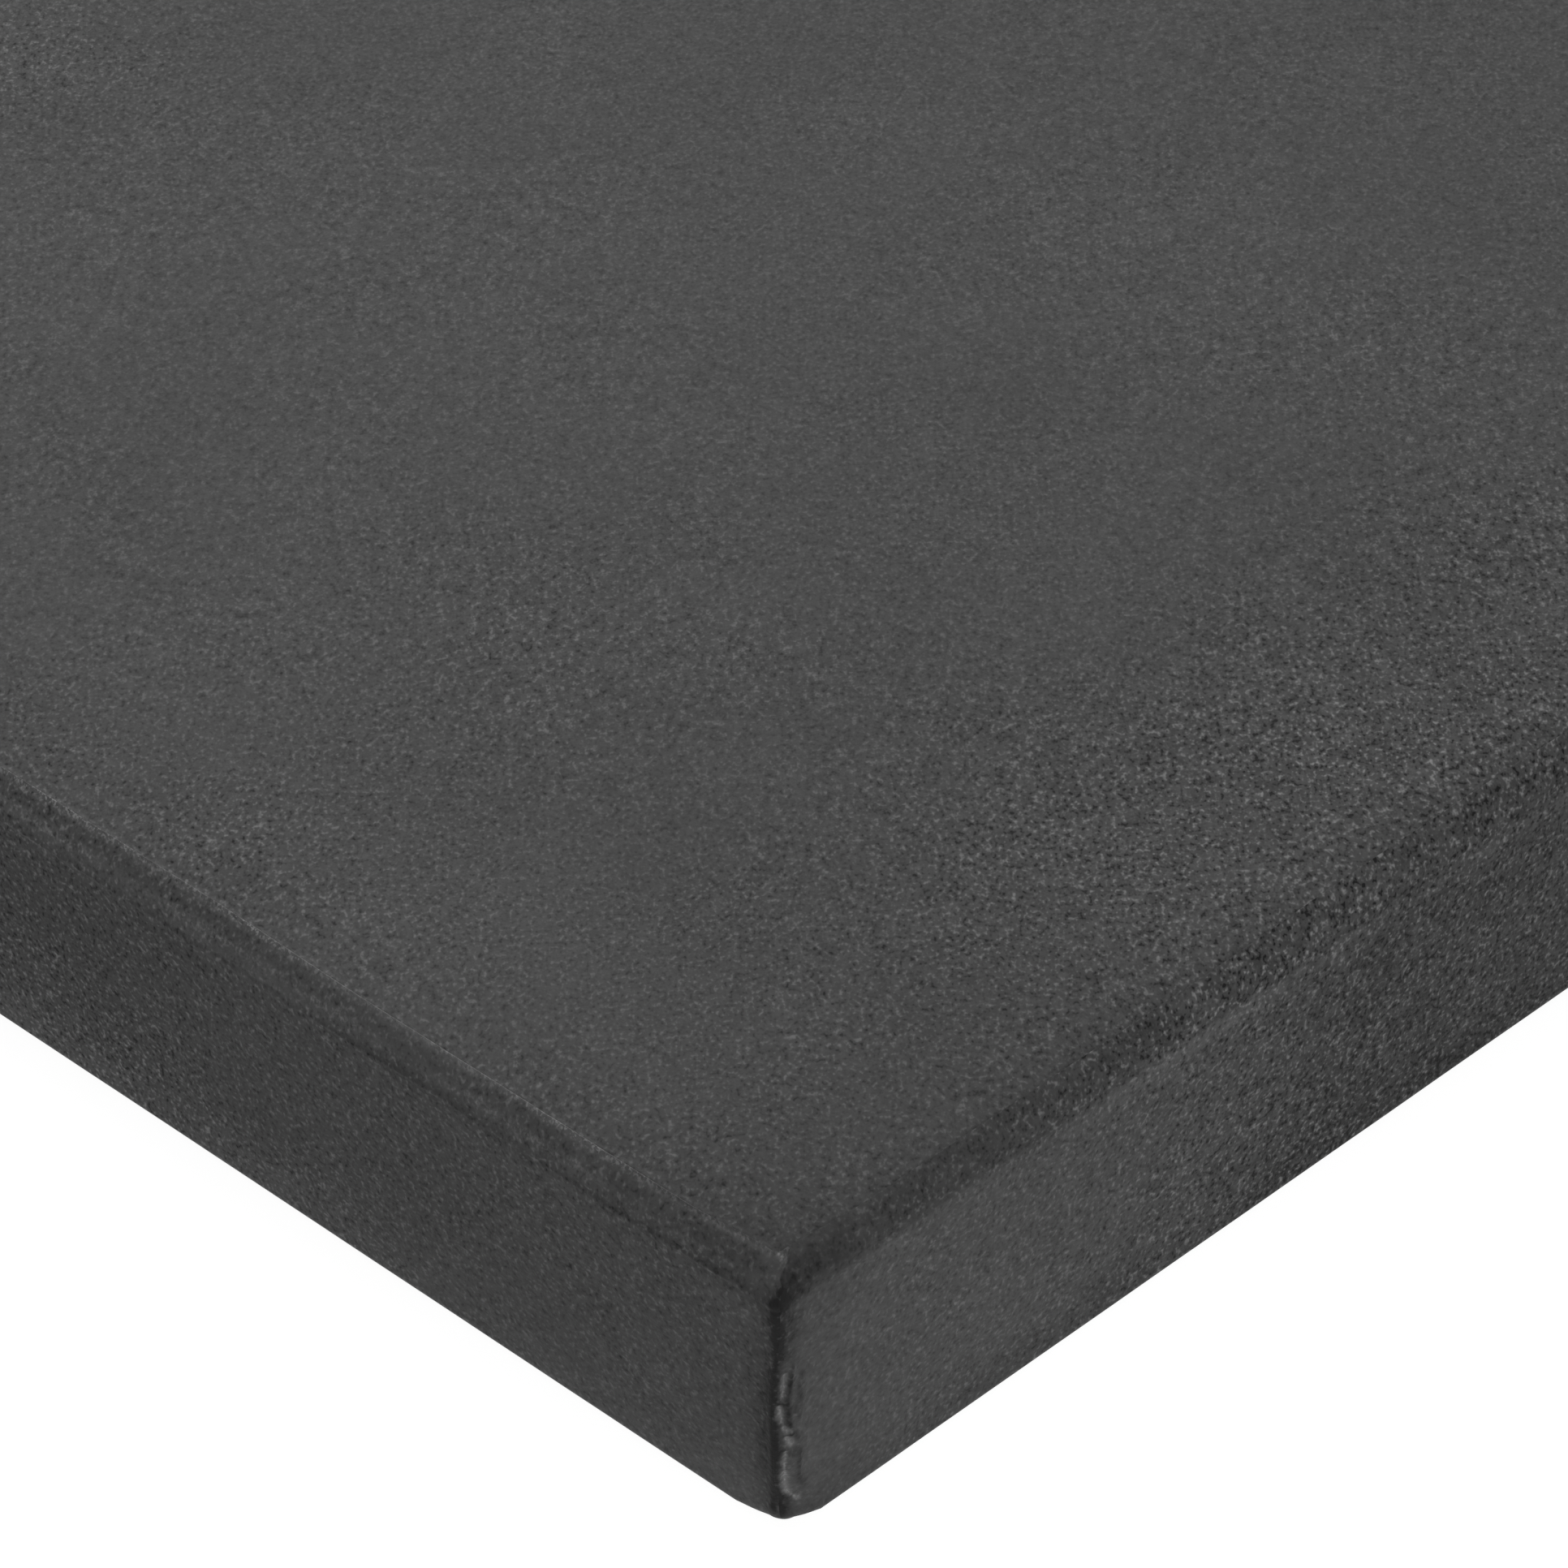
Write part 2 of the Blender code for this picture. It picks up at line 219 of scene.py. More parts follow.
def grid_object(name, points, material, flip=False):
    """A sheet through a grid of points, rows by columns."""
    rows, columns = points.shape[:2]
    index = np.arange(rows * columns).reshape(rows, columns)
    quads = np.stack([index[:-1, :-1], index[:-1, 1:], index[1:, 1:], index[1:, :-1]], axis=-1).reshape(-1, 4)
    faces = (quads[:, ::-1] if flip else quads).tolist()
    return mesh_object(name, points.reshape(-1, 3), faces, material)


def grid_normals(points):
    """Unit normals of a grid of points, rows by columns, pointing along columns x rows."""
    normal = np.cross(np.gradient(points, axis=1), np.gradient(points, axis=0))
    return normal / np.maximum(np.linalg.norm(normal, axis=2, keepdims=True), 1e-12)


def thicken(obj, thickness):
    """Gives a sheet its thickness on the inner side, and applies it."""
    solidify = obj.modifiers.new("cloth", "SOLIDIFY")
    solidify.thickness = thickness
    solidify.offset = -1.0
    solidify.use_even_offset = False
    evaluated = obj.evaluated_get(bpy.context.evaluated_depsgraph_get())
    mesh = bpy.data.meshes.new_from_object(evaluated)
    obj.modifiers.clear()
    old = obj.data
    obj.data = mesh
    bpy.data.meshes.remove(old)
    mesh.name = obj.name


def set_pile(obj, painted_light_and_tone, fuzz_highlight, coarse):
    """The painted light and shade, and the state of the pile, at each point, for the velour's nodes.

    The first value lightens the colour above 0 and darkens it below 0: painted light and shade in creases,
    grooves, bands and along seams, with some random tone.  The second is how much of the pile stands up in
    loose threads, drawn lighter as a painted highlight.  coarse is how much stronger the tufts show than on
    plain cloth."""
    for name, values in (("painted_light_and_tone", painted_light_and_tone), ("fuzz_highlight", fuzz_highlight), ("coarse", coarse)):
        attribute = obj.data.attributes.new(name, "FLOAT", "POINT")
        attribute.data.foreach_set("value", np.asarray(values, np.float32).ravel())


# -------- outline and profile of the cover


SIDE_NORMALS = np.array([(0, -1), (1, 0), (0, 1), (-1, 0)], float)
CORNERS = np.array([(-1, -1), (1, -1), (1, 1), (-1, 1)]) * (HALF_LENGTH, HALF_WIDTH)
SIDE_LENGTHS = np.array([LENGTH, WIDTH, LENGTH, WIDTH])


def outline(side, distance, offset):
    """Plan points at a distance along one side from its first corner, offset outside the nominal outline."""
    length = SIDE_LENGTHS[side]
    before, here, after = SIDE_NORMALS[side - 1], SIDE_NORMALS[side], SIDE_NORMALS[(side + 1) % 4]
    r = np.maximum(CORNER_RADIUS + offset, LEAST_RADIUS)[..., None]
    inset = offset[..., None] - r
    centre_first = CORNERS[side] + (before + here) * inset
    centre_last = CORNERS[(side + 1) % 4] + (here + after) * inset

    def rounded(centre, one, other, past):
        turn = (0.5 + 0.5 * np.clip(past / CORNER_ZONE, -1, 1))[..., None] * math.pi / 2
        return centre + r * (one * np.cos(turn) + other * np.sin(turn))

    share = (distance - CORNER_ZONE) / (length - 2 * CORNER_ZONE)
    points = centre_first + r * here + (centre_last - centre_first) * share[..., None]
    in_first, in_last = distance < CORNER_ZONE, distance > length - CORNER_ZONE
    points = np.where(in_last[..., None], rounded(centre_last, here, after, distance - length), points)
    points = np.where(in_first[..., None], rounded(centre_first, before, here, distance), points)
    # past a corner's zone it runs on along the next side
    beyond = np.maximum(np.maximum(distance - length, -distance) - CORNER_ZONE, 0)
    return points - here * beyond[..., None]


BAND_LENGTH = math.hypot(SHOULDER, SHOULDER)
WALL_HEIGHT = THICKNESS - SHOULDER - BASE_TURN
WALL_FOOT = BAND_LENGTH + WALL_HEIGHT
TURN_LENGTH = BASE_TURN * math.pi / 2
PROFILE_LENGTH = WALL_FOOT + TURN_LENGTH
WHOLE_DROP = (0.0, PROFILE_LENGTH)


def profile_stations():
    """Distances down the boxing from the panel seam: close at the seams and the crease, wider between."""
    band = graded(0, BAND_LENGTH, 0.0003, 0.0006, 0.0017, 1.3)
    wall = graded(BAND_LENGTH, WALL_FOOT, 0.0006, 0.0015, 0.0022, 1.18)
    turn = graded(WALL_FOOT, PROFILE_LENGTH, 0.0015, 0.0004, 0.0018, 1.3)
    return np.concatenate([band, wall[1:], turn[1:]])


def profile(s):
    """Offset outside the nominal outline, and height, at a distance down the boxing from the panel seam."""
    across = np.clip(s / BAND_LENGTH, 0, 1)
    bulge = SHOULDER_BULGE * np.sin(across * math.pi) / math.sqrt(2)
    down = np.clip(s - BAND_LENGTH, 0, WALL_HEIGHT)
    turn = np.clip((s - BAND_LENGTH - WALL_HEIGHT) / TURN_LENGTH, 0, 1) * math.pi / 2
    crown = SIDE_CROWN * np.sin(down / WALL_HEIGHT * math.pi)
    softened = CREASE_ROUND * bump(s - BAND_LENGTH, 2 * CREASE_ROUND)
    offset = -SHOULDER * (1 - across) + bulge + crown - BASE_TURN * (1 - np.cos(turn)) - 0.7 * softened
    height = THICKNESS - SHOULDER * across + bulge - down - BASE_TURN * np.sin(turn) - 0.3 * softened
    return offset, height


def tucked(points):
    """Draws the lowest part of the four upright corners in."""
    x, y, z = np.moveaxis(points, -1, 0)
    share = 1 - smooth_step(z, 0.2 * TUCK_HEIGHT, TUCK_HEIGHT)
    along_x = np.clip(1 - (HALF_LENGTH - np.abs(x)) / TUCK_FRONT[1], 0, 1)
    along_y = np.clip(1 - (HALF_WIDTH - np.abs(y)) / TUCK_END[1], 0, 1)
    in_x = np.sign(x) * TUCK_END[0] * share * along_y * np.sqrt(along_x)
    in_y = np.sign(y) * TUCK_FRONT[0] * share * along_x * np.sqrt(along_y)
    lift = TUCK_LIFT * (along_x * along_y) ** 3 * (1 - smooth_step(z, 0, 0.025))
    return np.stack([x - in_x, y - in_y, z + lift], axis=-1)


# How strongly the front, right, rear and left sides show the groove of the panel seam with painted shade in
# it, the ridge beside it, its painted shine, loose threads over the seam drawn lighter as a painted highlight,
# the crease under the shoulder band with painted shade in it, and the lip below that crease with a painted
# highlight on it
SEAM_CUT = np.array((0.35, 0.08, 0.4, 0.3))
RIDGE = np.array((0.3, 0.05, 0.3, 0.2))
RIDGE_SHINE = np.array((0.25, 0.0, 0.25, 0.1))
FUZZ_HIGHLIGHT = np.array((1.0, 0.0, 0.8, 0.2))
CREASE = np.array((1.0, 0.5, 0.9, 0.7))
LIP = np.array((0.25, 0.7, 0.4, 0.6))


def corner_distance(side, distance):
    """Distance from the nearer end of a side."""
    return np.minimum(distance, SIDE_LENGTHS[side] - distance)


def way_round(side, distance):
    """Distance round the whole mattress, so that no side repeats the pattern of another."""
    return SIDE_LENGTHS[:side].sum() + distance


def waves_along(along, size, seed):
    return waves(along, 0 * along, size, seed)


def seam_wander(side, distance):
    """How far outwards the panel seam strays from its line: slack cloth is never sewn dead straight."""
    nearer = corner_distance(side, distance)
    pulled = smooth_step(nearer, 0.02, 0.07) - smooth_step(nearer, 0.28, 0.42)
    stray = 0.0006 * waves(distance, 0 * distance + side, 0.12, 11 + side) + 0.0026 * pulled + 0.0004
    return stray * smooth_step(nearer, 0.0, 0.05)


# Hills of painted light and shade on the cloth; the grain marks below use the same layout for how strongly the
# tufts
# show.  Each is a hill, in mm: distance from the corner and half-width, distance down the boxing (on the top
# panel, from the front edge) and half-width; then its strength.
LONG_SIDE_MARKS = (
    (40, 32, 1.8, 1.4, 0.9),
    (90, 60, 11.0, 4.5, -0.25),
    (55, 55, 22.5, 4.5, -0.25),
)
END_SIDE_MARKS = (
    (45, 20, 25, 4.0, -0.30),
    (80, 20, 29, 5.0, 0.18),
    (125, 30, 17, 3.5, -0.35),
    (175, 30, 24, 5.0, -0.30),
    (290, 45, 60, 30, -0.18),
    (340, 60, 118, 25, -0.12),
)
# On the top panel: painted light and shade, then how much coarser the tufts look
TOP_PAINTED_LIGHT_MARKS = (
    (560, 200, 290, 150, 0.15),
    (560, 80, 160, 60, 0.16),
    (215, 90, 85, 70, 0.20),
    (350, 60, 600, 60, 0.12),
)
TOP_GRAIN_MARKS = (
    (450, 130, 20, 65, 0.95),
    (480, 110, 290, 90, 0.50),
    (160, 60, 290, 70, 0.42),
    (150, 100, 110, 60, 0.30),
    (60, 90, 500, 140, 0.30),
    (250, 120, 740, 120, 0.32),
    (1070, 80, 470, 90, 0.70),
)


def sum_of_hills(marks, distance, s):
    rows = np.array(marks) / (1000, 1000, 1000, 1000, 1)
    return sum(k * bump(distance - at, wide) * bump(s - down, deep) for at, wide, down, deep, k in rows)


def boxing_painted_light(side, distance, s):
    """Painted light and shade on the boxing apart from its creases: lighter and darker bands, patches and
    highlights, and some random tone.
    """
    along = way_round(side, distance)
    band = 1 - smooth_step(s, 0.85 * BAND_LENGTH, BAND_LENGTH + 0.001)
    wall = smooth_step(s, 0.85 * BAND_LENGTH, 1.05 * BAND_LENGTH)
    low = np.clip((s - BAND_LENGTH) / WALL_HEIGHT, 0, 1)
    uneven = waves(along, s, 0.016, 30)
    painted_light_and_tone = 0.22 * band * uneven + 0.10 * waves(along, s, 0.03, 36)
    if side in (RIGHT, LEFT):
        # end sides: painted shade and light, the band darker near the corner and lighter farther on, a painted
        # highlight where the wall bulges below the crease, the wall lighter near the corner and darker farther
        # on and towards the foot
        painted_light_and_tone += band * (0.37 * smooth_step(distance, 0.12, 0.35) - 0.06)
        painted_light_and_tone -= 0.50 * band * bump(distance - 0.03, 0.08) * smooth_step(s, 0.001, 0.008)
        ridge_highlight = 0.5 * smooth_step(distance, 0.17, 0.24) + 0.4 * bump(distance - 0.29, 0.035)
        painted_light_and_tone += ridge_highlight * bump(s - 0.0300, 0.0048) * (1 + 0.25 * uneven)
        shade = 0.38 * (1 - smooth_step(distance, 0.24, 0.42)) - 0.28 * bump(distance - 0.44, 0.10)
        shade -= 0.35 * bump(distance - 0.033, 0.03) * (1 - smooth_step(low, 0.08, 0.25))
        shade -= 0.15 * bump(distance - 0.36, 0.06) * smooth_step(low, 0.6, 0.8)
        shade -= 0.20 * bump(distance, 0.018) + 0.40 * smooth_step(low, 0.76, 1.0)
        shade -= 0.13 * smooth_step(distance, 0.22, 0.40)
        return painted_light_and_tone + shade * wall + sum_of_hills(END_SIDE_MARKS, distance, s)
    # long sides: painted highlights along the panel seam and in the shoulder band, patches of painted light
    # and shade, the wall darker farther from the corner and lighter towards the foot
    nearer = corner_distance(side, distance)
    by_turn = smooth_step(nearer, -0.006, 0.025)
    away = smooth_step(nearer, 0.05, 0.17)
    far = smooth_step(nearer, 0.27, 0.36)
    seam_highlight = 0.7 * bump(s - 0.0010, 0.0028) + 1.5 * away * bump(s - 0.0002, 0.0014)
    painted_light_and_tone += seam_highlight * by_turn * (0.5 + 0.5 * away) + band * by_turn * (0.05 + 0.15 * away)
    band_highlight = 0.95 * (0.18 + 0.40 * away + 0.42 * far)
    painted_light_and_tone += band_highlight * bump(s - 0.0138, 0.0040) * (1 + 0.35 * waves_along(along, 0.05, 37))
    painted_light_and_tone += 0.8 * far * bump(s - 0.0208, 0.0045) + 0.08 * smooth_step(s, 0.11, 0.14)
    painted_light_and_tone += sum_of_hills(LONG_SIDE_MARKS, nearer, s) - 0.12 * wall * smooth_step(nearer, 0.12, 0.30)
    painted_foot_light = 0.20 + 0.45 * bump(nearer, 0.08) + 0.28 * far
    return painted_light_and_tone + 0.10 * smooth_step(low, 0.45, 0.9) + painted_foot_light * smooth_step(low, 0.78, 0.96)


def boxing_fuzz_highlight(side, distance, s):
    """Loose threads, drawn lighter as a painted highlight, over the panel seam and, in places, along the
    middle of the shoulder band.
    """
    along = way_round(side, distance)
    nearer = corner_distance(side, distance)
    over_seam = bump(s - 0.0005, 0.0020) * (1.1 + 0.6 * waves_along(along, 0.03, 38))
    in_band = bump(s - 0.0138, 0.0020) * np.clip(0.3 + waves_along(along, 0.05, 39), 0, 1)
    share = 0.35 + 0.65 * smooth_step(nearer, 0.03, 0.12) + 0.5 * smooth_step(nearer, 0.25, 0.40)
    return FUZZ_HIGHLIGHT[side] * (over_seam + 0.6 * in_band) * share


def boxing_coarse(side, distance, s):
    """How much stronger the tufts show than on plain cloth."""
    if side in (RIGHT, LEFT):
        in_band = 1 - smooth_step(s, 0.85 * BAND_LENGTH, BAND_LENGTH + 0.004)
        rougher = (0.45 * in_band - 0.16) * smooth_step(distance, 0.08, 0.22)
        return 0.22 + rougher - 0.80 * bump(distance - 0.02, 0.07)
    nearer = corner_distance(side, distance)
    return smooth_step(nearer, 0.15, 0.5) - 0.4 * bump(nearer, 0.05)


def boxing_shape(side, distance, s):
    """Offset, height, outward displacement, and painted light and shade with some random tone, of the boxing,
    at distances along and down it.
    """
    offset, height = profile(s)
    offset = offset + seam_wander(side, distance) * (1 - np.clip(s / BAND_LENGTH, 0, 1))
    along = way_round(side, distance)
    crease_at = BAND_LENGTH + 0.0013 * waves_along(along, 0.10, 21) + 0.0006 * waves_along(along, 0.022, 20)
    patch = 0.5 + 0.5 * waves_along(along, 0.045, 22)
    fine = waves(along, s, 0.006, 23)
    gather = waves_along(along, 0.011, 24)
    crease = CREASE[side] * (0.55 + 0.6 * patch)
    lip = LIP[side] * (0.6 + 0.5 * waves_along(along, 0.16, 25))
    if side in (RIGHT, LEFT):
        off_corner = smooth_step(corner_distance(side, distance), 0.002, 0.035)
        crease, lip = crease * off_corner, lip * off_corner
    under_edge = 0.6 * BAND_LENGTH + 0.0010 * waves_along(along, 0.03, 26)
    seam_edge = np.clip(waves_along(along, 0.035, 27) + 0.35, 0, 1)
    out = -SEAM_DEPTH * SEAM_CUT[side] * bump(s, SEAM_WIDTH)
    out += 0.0004 * RIDGE[side] * (0.6 + 0.5 * patch) * bump(s - 0.0020, 0.0010) * (1 + 0.5 * fine)
    out -= 0.0009 * crease * bump(s - crease_at, 0.0016)
    out += 0.0010 * lip * bump(s - crease_at - 0.0045, 0.0036)
    out += 0.00045 * seam_edge * bump(s - under_edge, 0.0011)
    out += 0.00028 * gather * bump(s, 0.009) + 0.00022 * gather * bump(s - crease_at - 0.003, 0.008)
    wall = smooth_step(s, BAND_LENGTH, BAND_LENGTH + 0.02)
    wall = wall * (1 - smooth_step(s, PROFILE_LENGTH - 0.022, PROFILE_LENGTH))
    out += wall * (0.0007 * waves(along, s, 0.07, 28) + 0.0003 * waves(along, s, 0.025, 29))
    out -= SEAM_DEPTH * 0.7 * bump(PROFILE_LENGTH - s, SEAM_WIDTH)
    # painted shade in the crease, a painted highlight on the lip below it, and painted shine on the small
    # ridge in the shoulder band
    painted_light_and_tone = -0.45 * crease * bump(s - crease_at + 0.0006, 0.0024)
    painted_light_and_tone += 0.30 * lip * bump(s - crease_at - 0.0040, 0.0030) * (1 + 0.4 * fine)
    painted_light_and_tone += 0.8 * RIDGE_SHINE[side] * seam_edge * bump(s - under_edge, 0.0012) * (1 + fine)
    return offset, height, out, painted_light_and_tone + boxing_painted_light(side, distance, s)


# -------- corner seams


def corner_seam(s):
    """How far past a long side's end the upright seam runs, at a distance down the boxing."""
    path = np.array(SEAM_PATH) / 1000
    return np.mean([np.interp(s + ease, *path.T) for ease in (-SEAM_EASE, 0, SEAM_EASE)], axis=0)


def side_grid(side, low, high, rows, step):
    """Grid of boxing points between two distances along a side and two down it."""
    length = SIDE_LENGTHS[side]
    s = profile_stations()
    s = np.concatenate([[rows[0]], s[(s > rows[0]) & (s < rows[1])], [rows[1]]])
    # close columns beside the upright seams, wider ones between
    first = np.arange(low, low + CORNER_REACH, step) if low <= 0 else np.array([low])
    last = np.arange(high, high - CORNER_REACH, -step)[::-1] if high >= length else np.array([high])
    between = graded(first[-1], last[0], step, step, 0.0075)
    nominal = np.concatenate([first, between[1:-1], last])
    if side in (RIGHT, LEFT):
        nominal = with_fold(nominal - HALF_WIDTH) + HALF_WIDTH
    distance, down = np.meshgrid(nominal, s)
    outwards = 1 if side in (FRONT, REAR) else -1
    shift = outwards * corner_seam(down)
    distance = distance + shift * (bump(length - distance, 0.035) - bump(distance, 0.035))
    if low <= 0:
        distance[:, 0] -= UPRIGHT_LAP
    if high >= length:
        distance[:, -1] += UPRIGHT_LAP
    return distance, down


def round_corner(side, distance, radius):
    """Signed length of surface from the nearest upright corner: positive on the end sides."""
    nearer = corner_distance(side, distance)
    beyond = np.maximum(np.abs(nearer) - CORNER_ZONE, 0)
    arc = radius * math.pi / 4 * np.minimum(np.abs(nearer) / CORNER_ZONE, 1) + beyond
    return arc * np.sign(nearer) * (1 if side in (RIGHT, LEFT) else -1)


def stroke_field(across, down, line):
    """For each point of a surface, a hill around a line drawn on it.

    The line's points are (round the corner, down the boxing, half-width there), all in millimetres."""
    line = np.asarray(line, float) / 1000
    lengths = np.concatenate([[0], np.cumsum(np.linalg.norm(np.diff(line[:, :2], axis=0), axis=1))])
    even = np.linspace(0, lengths[-1], max(int(lengths[-1] / 0.0006), 8))
    dense = np.stack([np.interp(even, lengths, line[:, k]) for k in range(3)], axis=1)
    reach = 3 * dense[:, 2].max()
    flat = np.stack([across.ravel(), down.ravel()], axis=1)
    near = np.all((flat > dense[:, :2].min(0) - reach) & (flat < dense[:, :2].max(0) + reach), axis=1)
    field = np.zeros(len(flat))
    if near.any():
        gaps = np.linalg.norm(flat[near][:, None, :] - dense[None, :, :2], axis=2)
        field[near] = bump(gaps, dense[None, :, 2]).max(axis=1)
    return field.reshape(across.shape)


# How frayed the pile is on the brightest strokes, drawn lighter there as a painted highlight
PUCKER_FUZZ_HIGHLIGHT = 0.9
# Drawn on the cloth at each upright corner.  Each is a line, as stroke_field takes it, with a depth (outwards
# is positive) and a painted light level: above 0 a painted highlight, below 0 painted shade.
CORNER_STROKES = (
    # the upright seam's groove, with painted shade in it
    ((
        (1.0, 15, 2.2), (0.4, 19, 3.2), (-0.3, 27, 3.8), (-0.4, 36, 3.6), (-1.0, 45, 3.1),
        (-1.6, 55, 2.8), (-2.6, 66, 2.9), (-3.6, 80, 3.2), (-3.8, 95, 3.4), (-3.6, 112, 3.4),
        (-3.3, 122, 3.4), (-2.4, 132, 3.6), (-1.4, 142, 3.8), (-1.2, 156, 3.8),
    ), -0.0021, -1.35),
    # where it starts, in the shoulder band, with painted shade in it
    (((0.8, 14, 1.6), (2.5, 10, 1.3), (5.2, 6, 1.1), (8.0, 3, 1.0)), -0.0006, -0.45),
    # shades: the hollow in the end side's band, the cloth below it, and the slack cloth on the long side
    (((4, 18, 6.0), (9, 17, 6.5), (17, 16, 6.0)), -0.0006, -0.45),
    (((5, 21, 7.0), (7, 28, 8.0), (6, 38, 8.0), (5, 50, 5.0)), -0.0003, -0.85),
    (((-4.5, 60, 2.5), (-6.0, 75, 4.0), (-6.5, 95, 5.0), (-6.5, 120, 5.0), (-4.5, 150, 4.0)), 0.0, -0.7),
    ((
        (-5, 24, 5.5), (-6, 45, 6.5), (-9, 70, 8.0), (-10, 95, 9.0), (-10, 120, 9.0), (-7, 150, 8.0),
    ), -0.0003, -0.65),
    # the puckered edge beside the groove, in pieces, with painted highlights on them
    (((1.8, 63, 1.3), (1.4, 68, 1.5), (0.6, 75.5, 0.9)), 0.0012, 3.2),
    (((-1.2, 80.5, 1.1), (-0.9, 86, 1.6), (0.0, 90, 1.0)), 0.0014, 4.0),
    (((0.3, 92.6, 0.9), (1.6, 94.8, 1.4), (4.2, 95.2, 1.0)), 0.0008, 3.0),
    (((1.8, 99.8, 1.3), (3.8, 104, 1.7)), 0.0010, 3.2),
    (((1.2, 108, 1.0), (0.6, 114, 1.4), (0.8, 118, 1.2)), 0.0008, 2.2),
    (((0.4, 121, 1.5), (1.0, 125, 1.9), (0.9, 130, 1.7), (2.1, 136, 1.8), (3.8, 139, 1.3)), 0.0014, 3.4),
    (((5.6, 141.8, 1.1), (8.0, 144, 1.3)), 0.0008, 3.2),
    # the nips between those pieces, with painted shade in them
    (((-1.2, 78.4, 1.3), (1.6, 77.6, 1.1)), -0.0006, -0.9),
    (((0.8, 97.4, 0.8), (4.2, 97.9, 0.9)), -0.0008, -1.2),
    (((0.2, 106.0, 0.6), (2.8, 107.0, 0.6)), -0.0006, -1.0),
    (((-0.2, 119.6, 0.5), (1.8, 119.4, 0.5)), -0.0004, -0.8),
    (((4.4, 141.0, 0.6), (6.2, 140.2, 0.6)), -0.0005, -1.0),
    # short creases that run out from the pucker, with painted shade in them
    ((
        (6.5, 59, 1.3), (4.8, 66, 1.9), (3.6, 73, 1.9), (2.9, 81, 1.9), (3.4, 90, 1.6), (5.0, 96, 1.2),
    ), -0.0012, -1.5),
    (((11.5, 66, 2.2), (10.8, 75, 2.8), (9.8, 84, 3.0), (9.5, 90, 2.0)), -0.0010, -0.8),
    (((4.8, 97, 1.2), (9.2, 103, 1.5)), -0.0008, -1.0),
    (((3.2, 110, 1.5), (9.0, 110.5, 2.0), (8.4, 119, 1.8), (7.8, 128, 1.6), (10.8, 135, 2.0)), -0.0010, -1.1),
    # a little lint where the three seams meet
    (((0.8, 1.0, 1.1), (2.6, 2.2, 1.1), (5.2, 4.4, 0.9)), 0.0003, 2.6),
)


def boxing_points(side, distance, s):
    """Finished points, painted light and shade, and frayed pile drawn as a painted highlight, for a grid of
    boxing positions.
    """
    offset, height, out, painted_light_and_tone = boxing_shape(side, distance, s)
    points = np.dstack([outline(side, distance, offset), height])
    normals = grid_normals(points)
    across = round_corner(side, distance, np.maximum(CORNER_RADIUS + offset, LEAST_RADIUS))
    frayed_highlight = 0 * painted_light_and_tone
    # each stroke adds its depth and its painted light level: a painted highlight above 0, painted shade below
    # 0
    for line, depth, tint in CORNER_STROKES:
        field = stroke_field(across, s, line)
        out = out + depth * field
        painted_light_and_tone = painted_light_and_tone + tint * field
        frayed_highlight = np.maximum(frayed_highlight, PUCKER_FUZZ_HIGHLIGHT * field * (tint > 1))
    points = tucked(points + normals * out[..., None])
    points[..., 2] = np.maximum(points[..., 2], 0.0)
    return points, painted_light_and_tone, frayed_highlight


def make_boxing(name, side, low, high, material, rows=WHOLE_DROP, step=0.0006):
    distance, s = side_grid(side, low, high, rows, step)
    points, painted_light_and_tone, frayed_highlight = boxing_points(side, distance, s)
    obj = grid_object(name, points, material, flip=True)
    set_pile(obj, painted_light_and_tone, boxing_fuzz_highlight(side, distance, s) + frayed_highlight, boxing_coarse(side, distance, s))
    thicken(obj, CLOTH)
    return obj


# -------- flat panels


def panel_lines(half, end_in_view):
    """Stations across the top panel: close at its edges, and over the part near the end that is in view."""
    wide = graded(-half, half, 0.0004, 0.0004, 0.014, 1.35)
    close = graded(-half, half, 0.0004, 0.0004, 0.007, 1.35)
    near, near_wide = close * end_in_view >= half - 0.6, wide * end_in_view >= half - 0.6
    return np.sort(np.concatenate([wide[~near_wide], close[near]]))


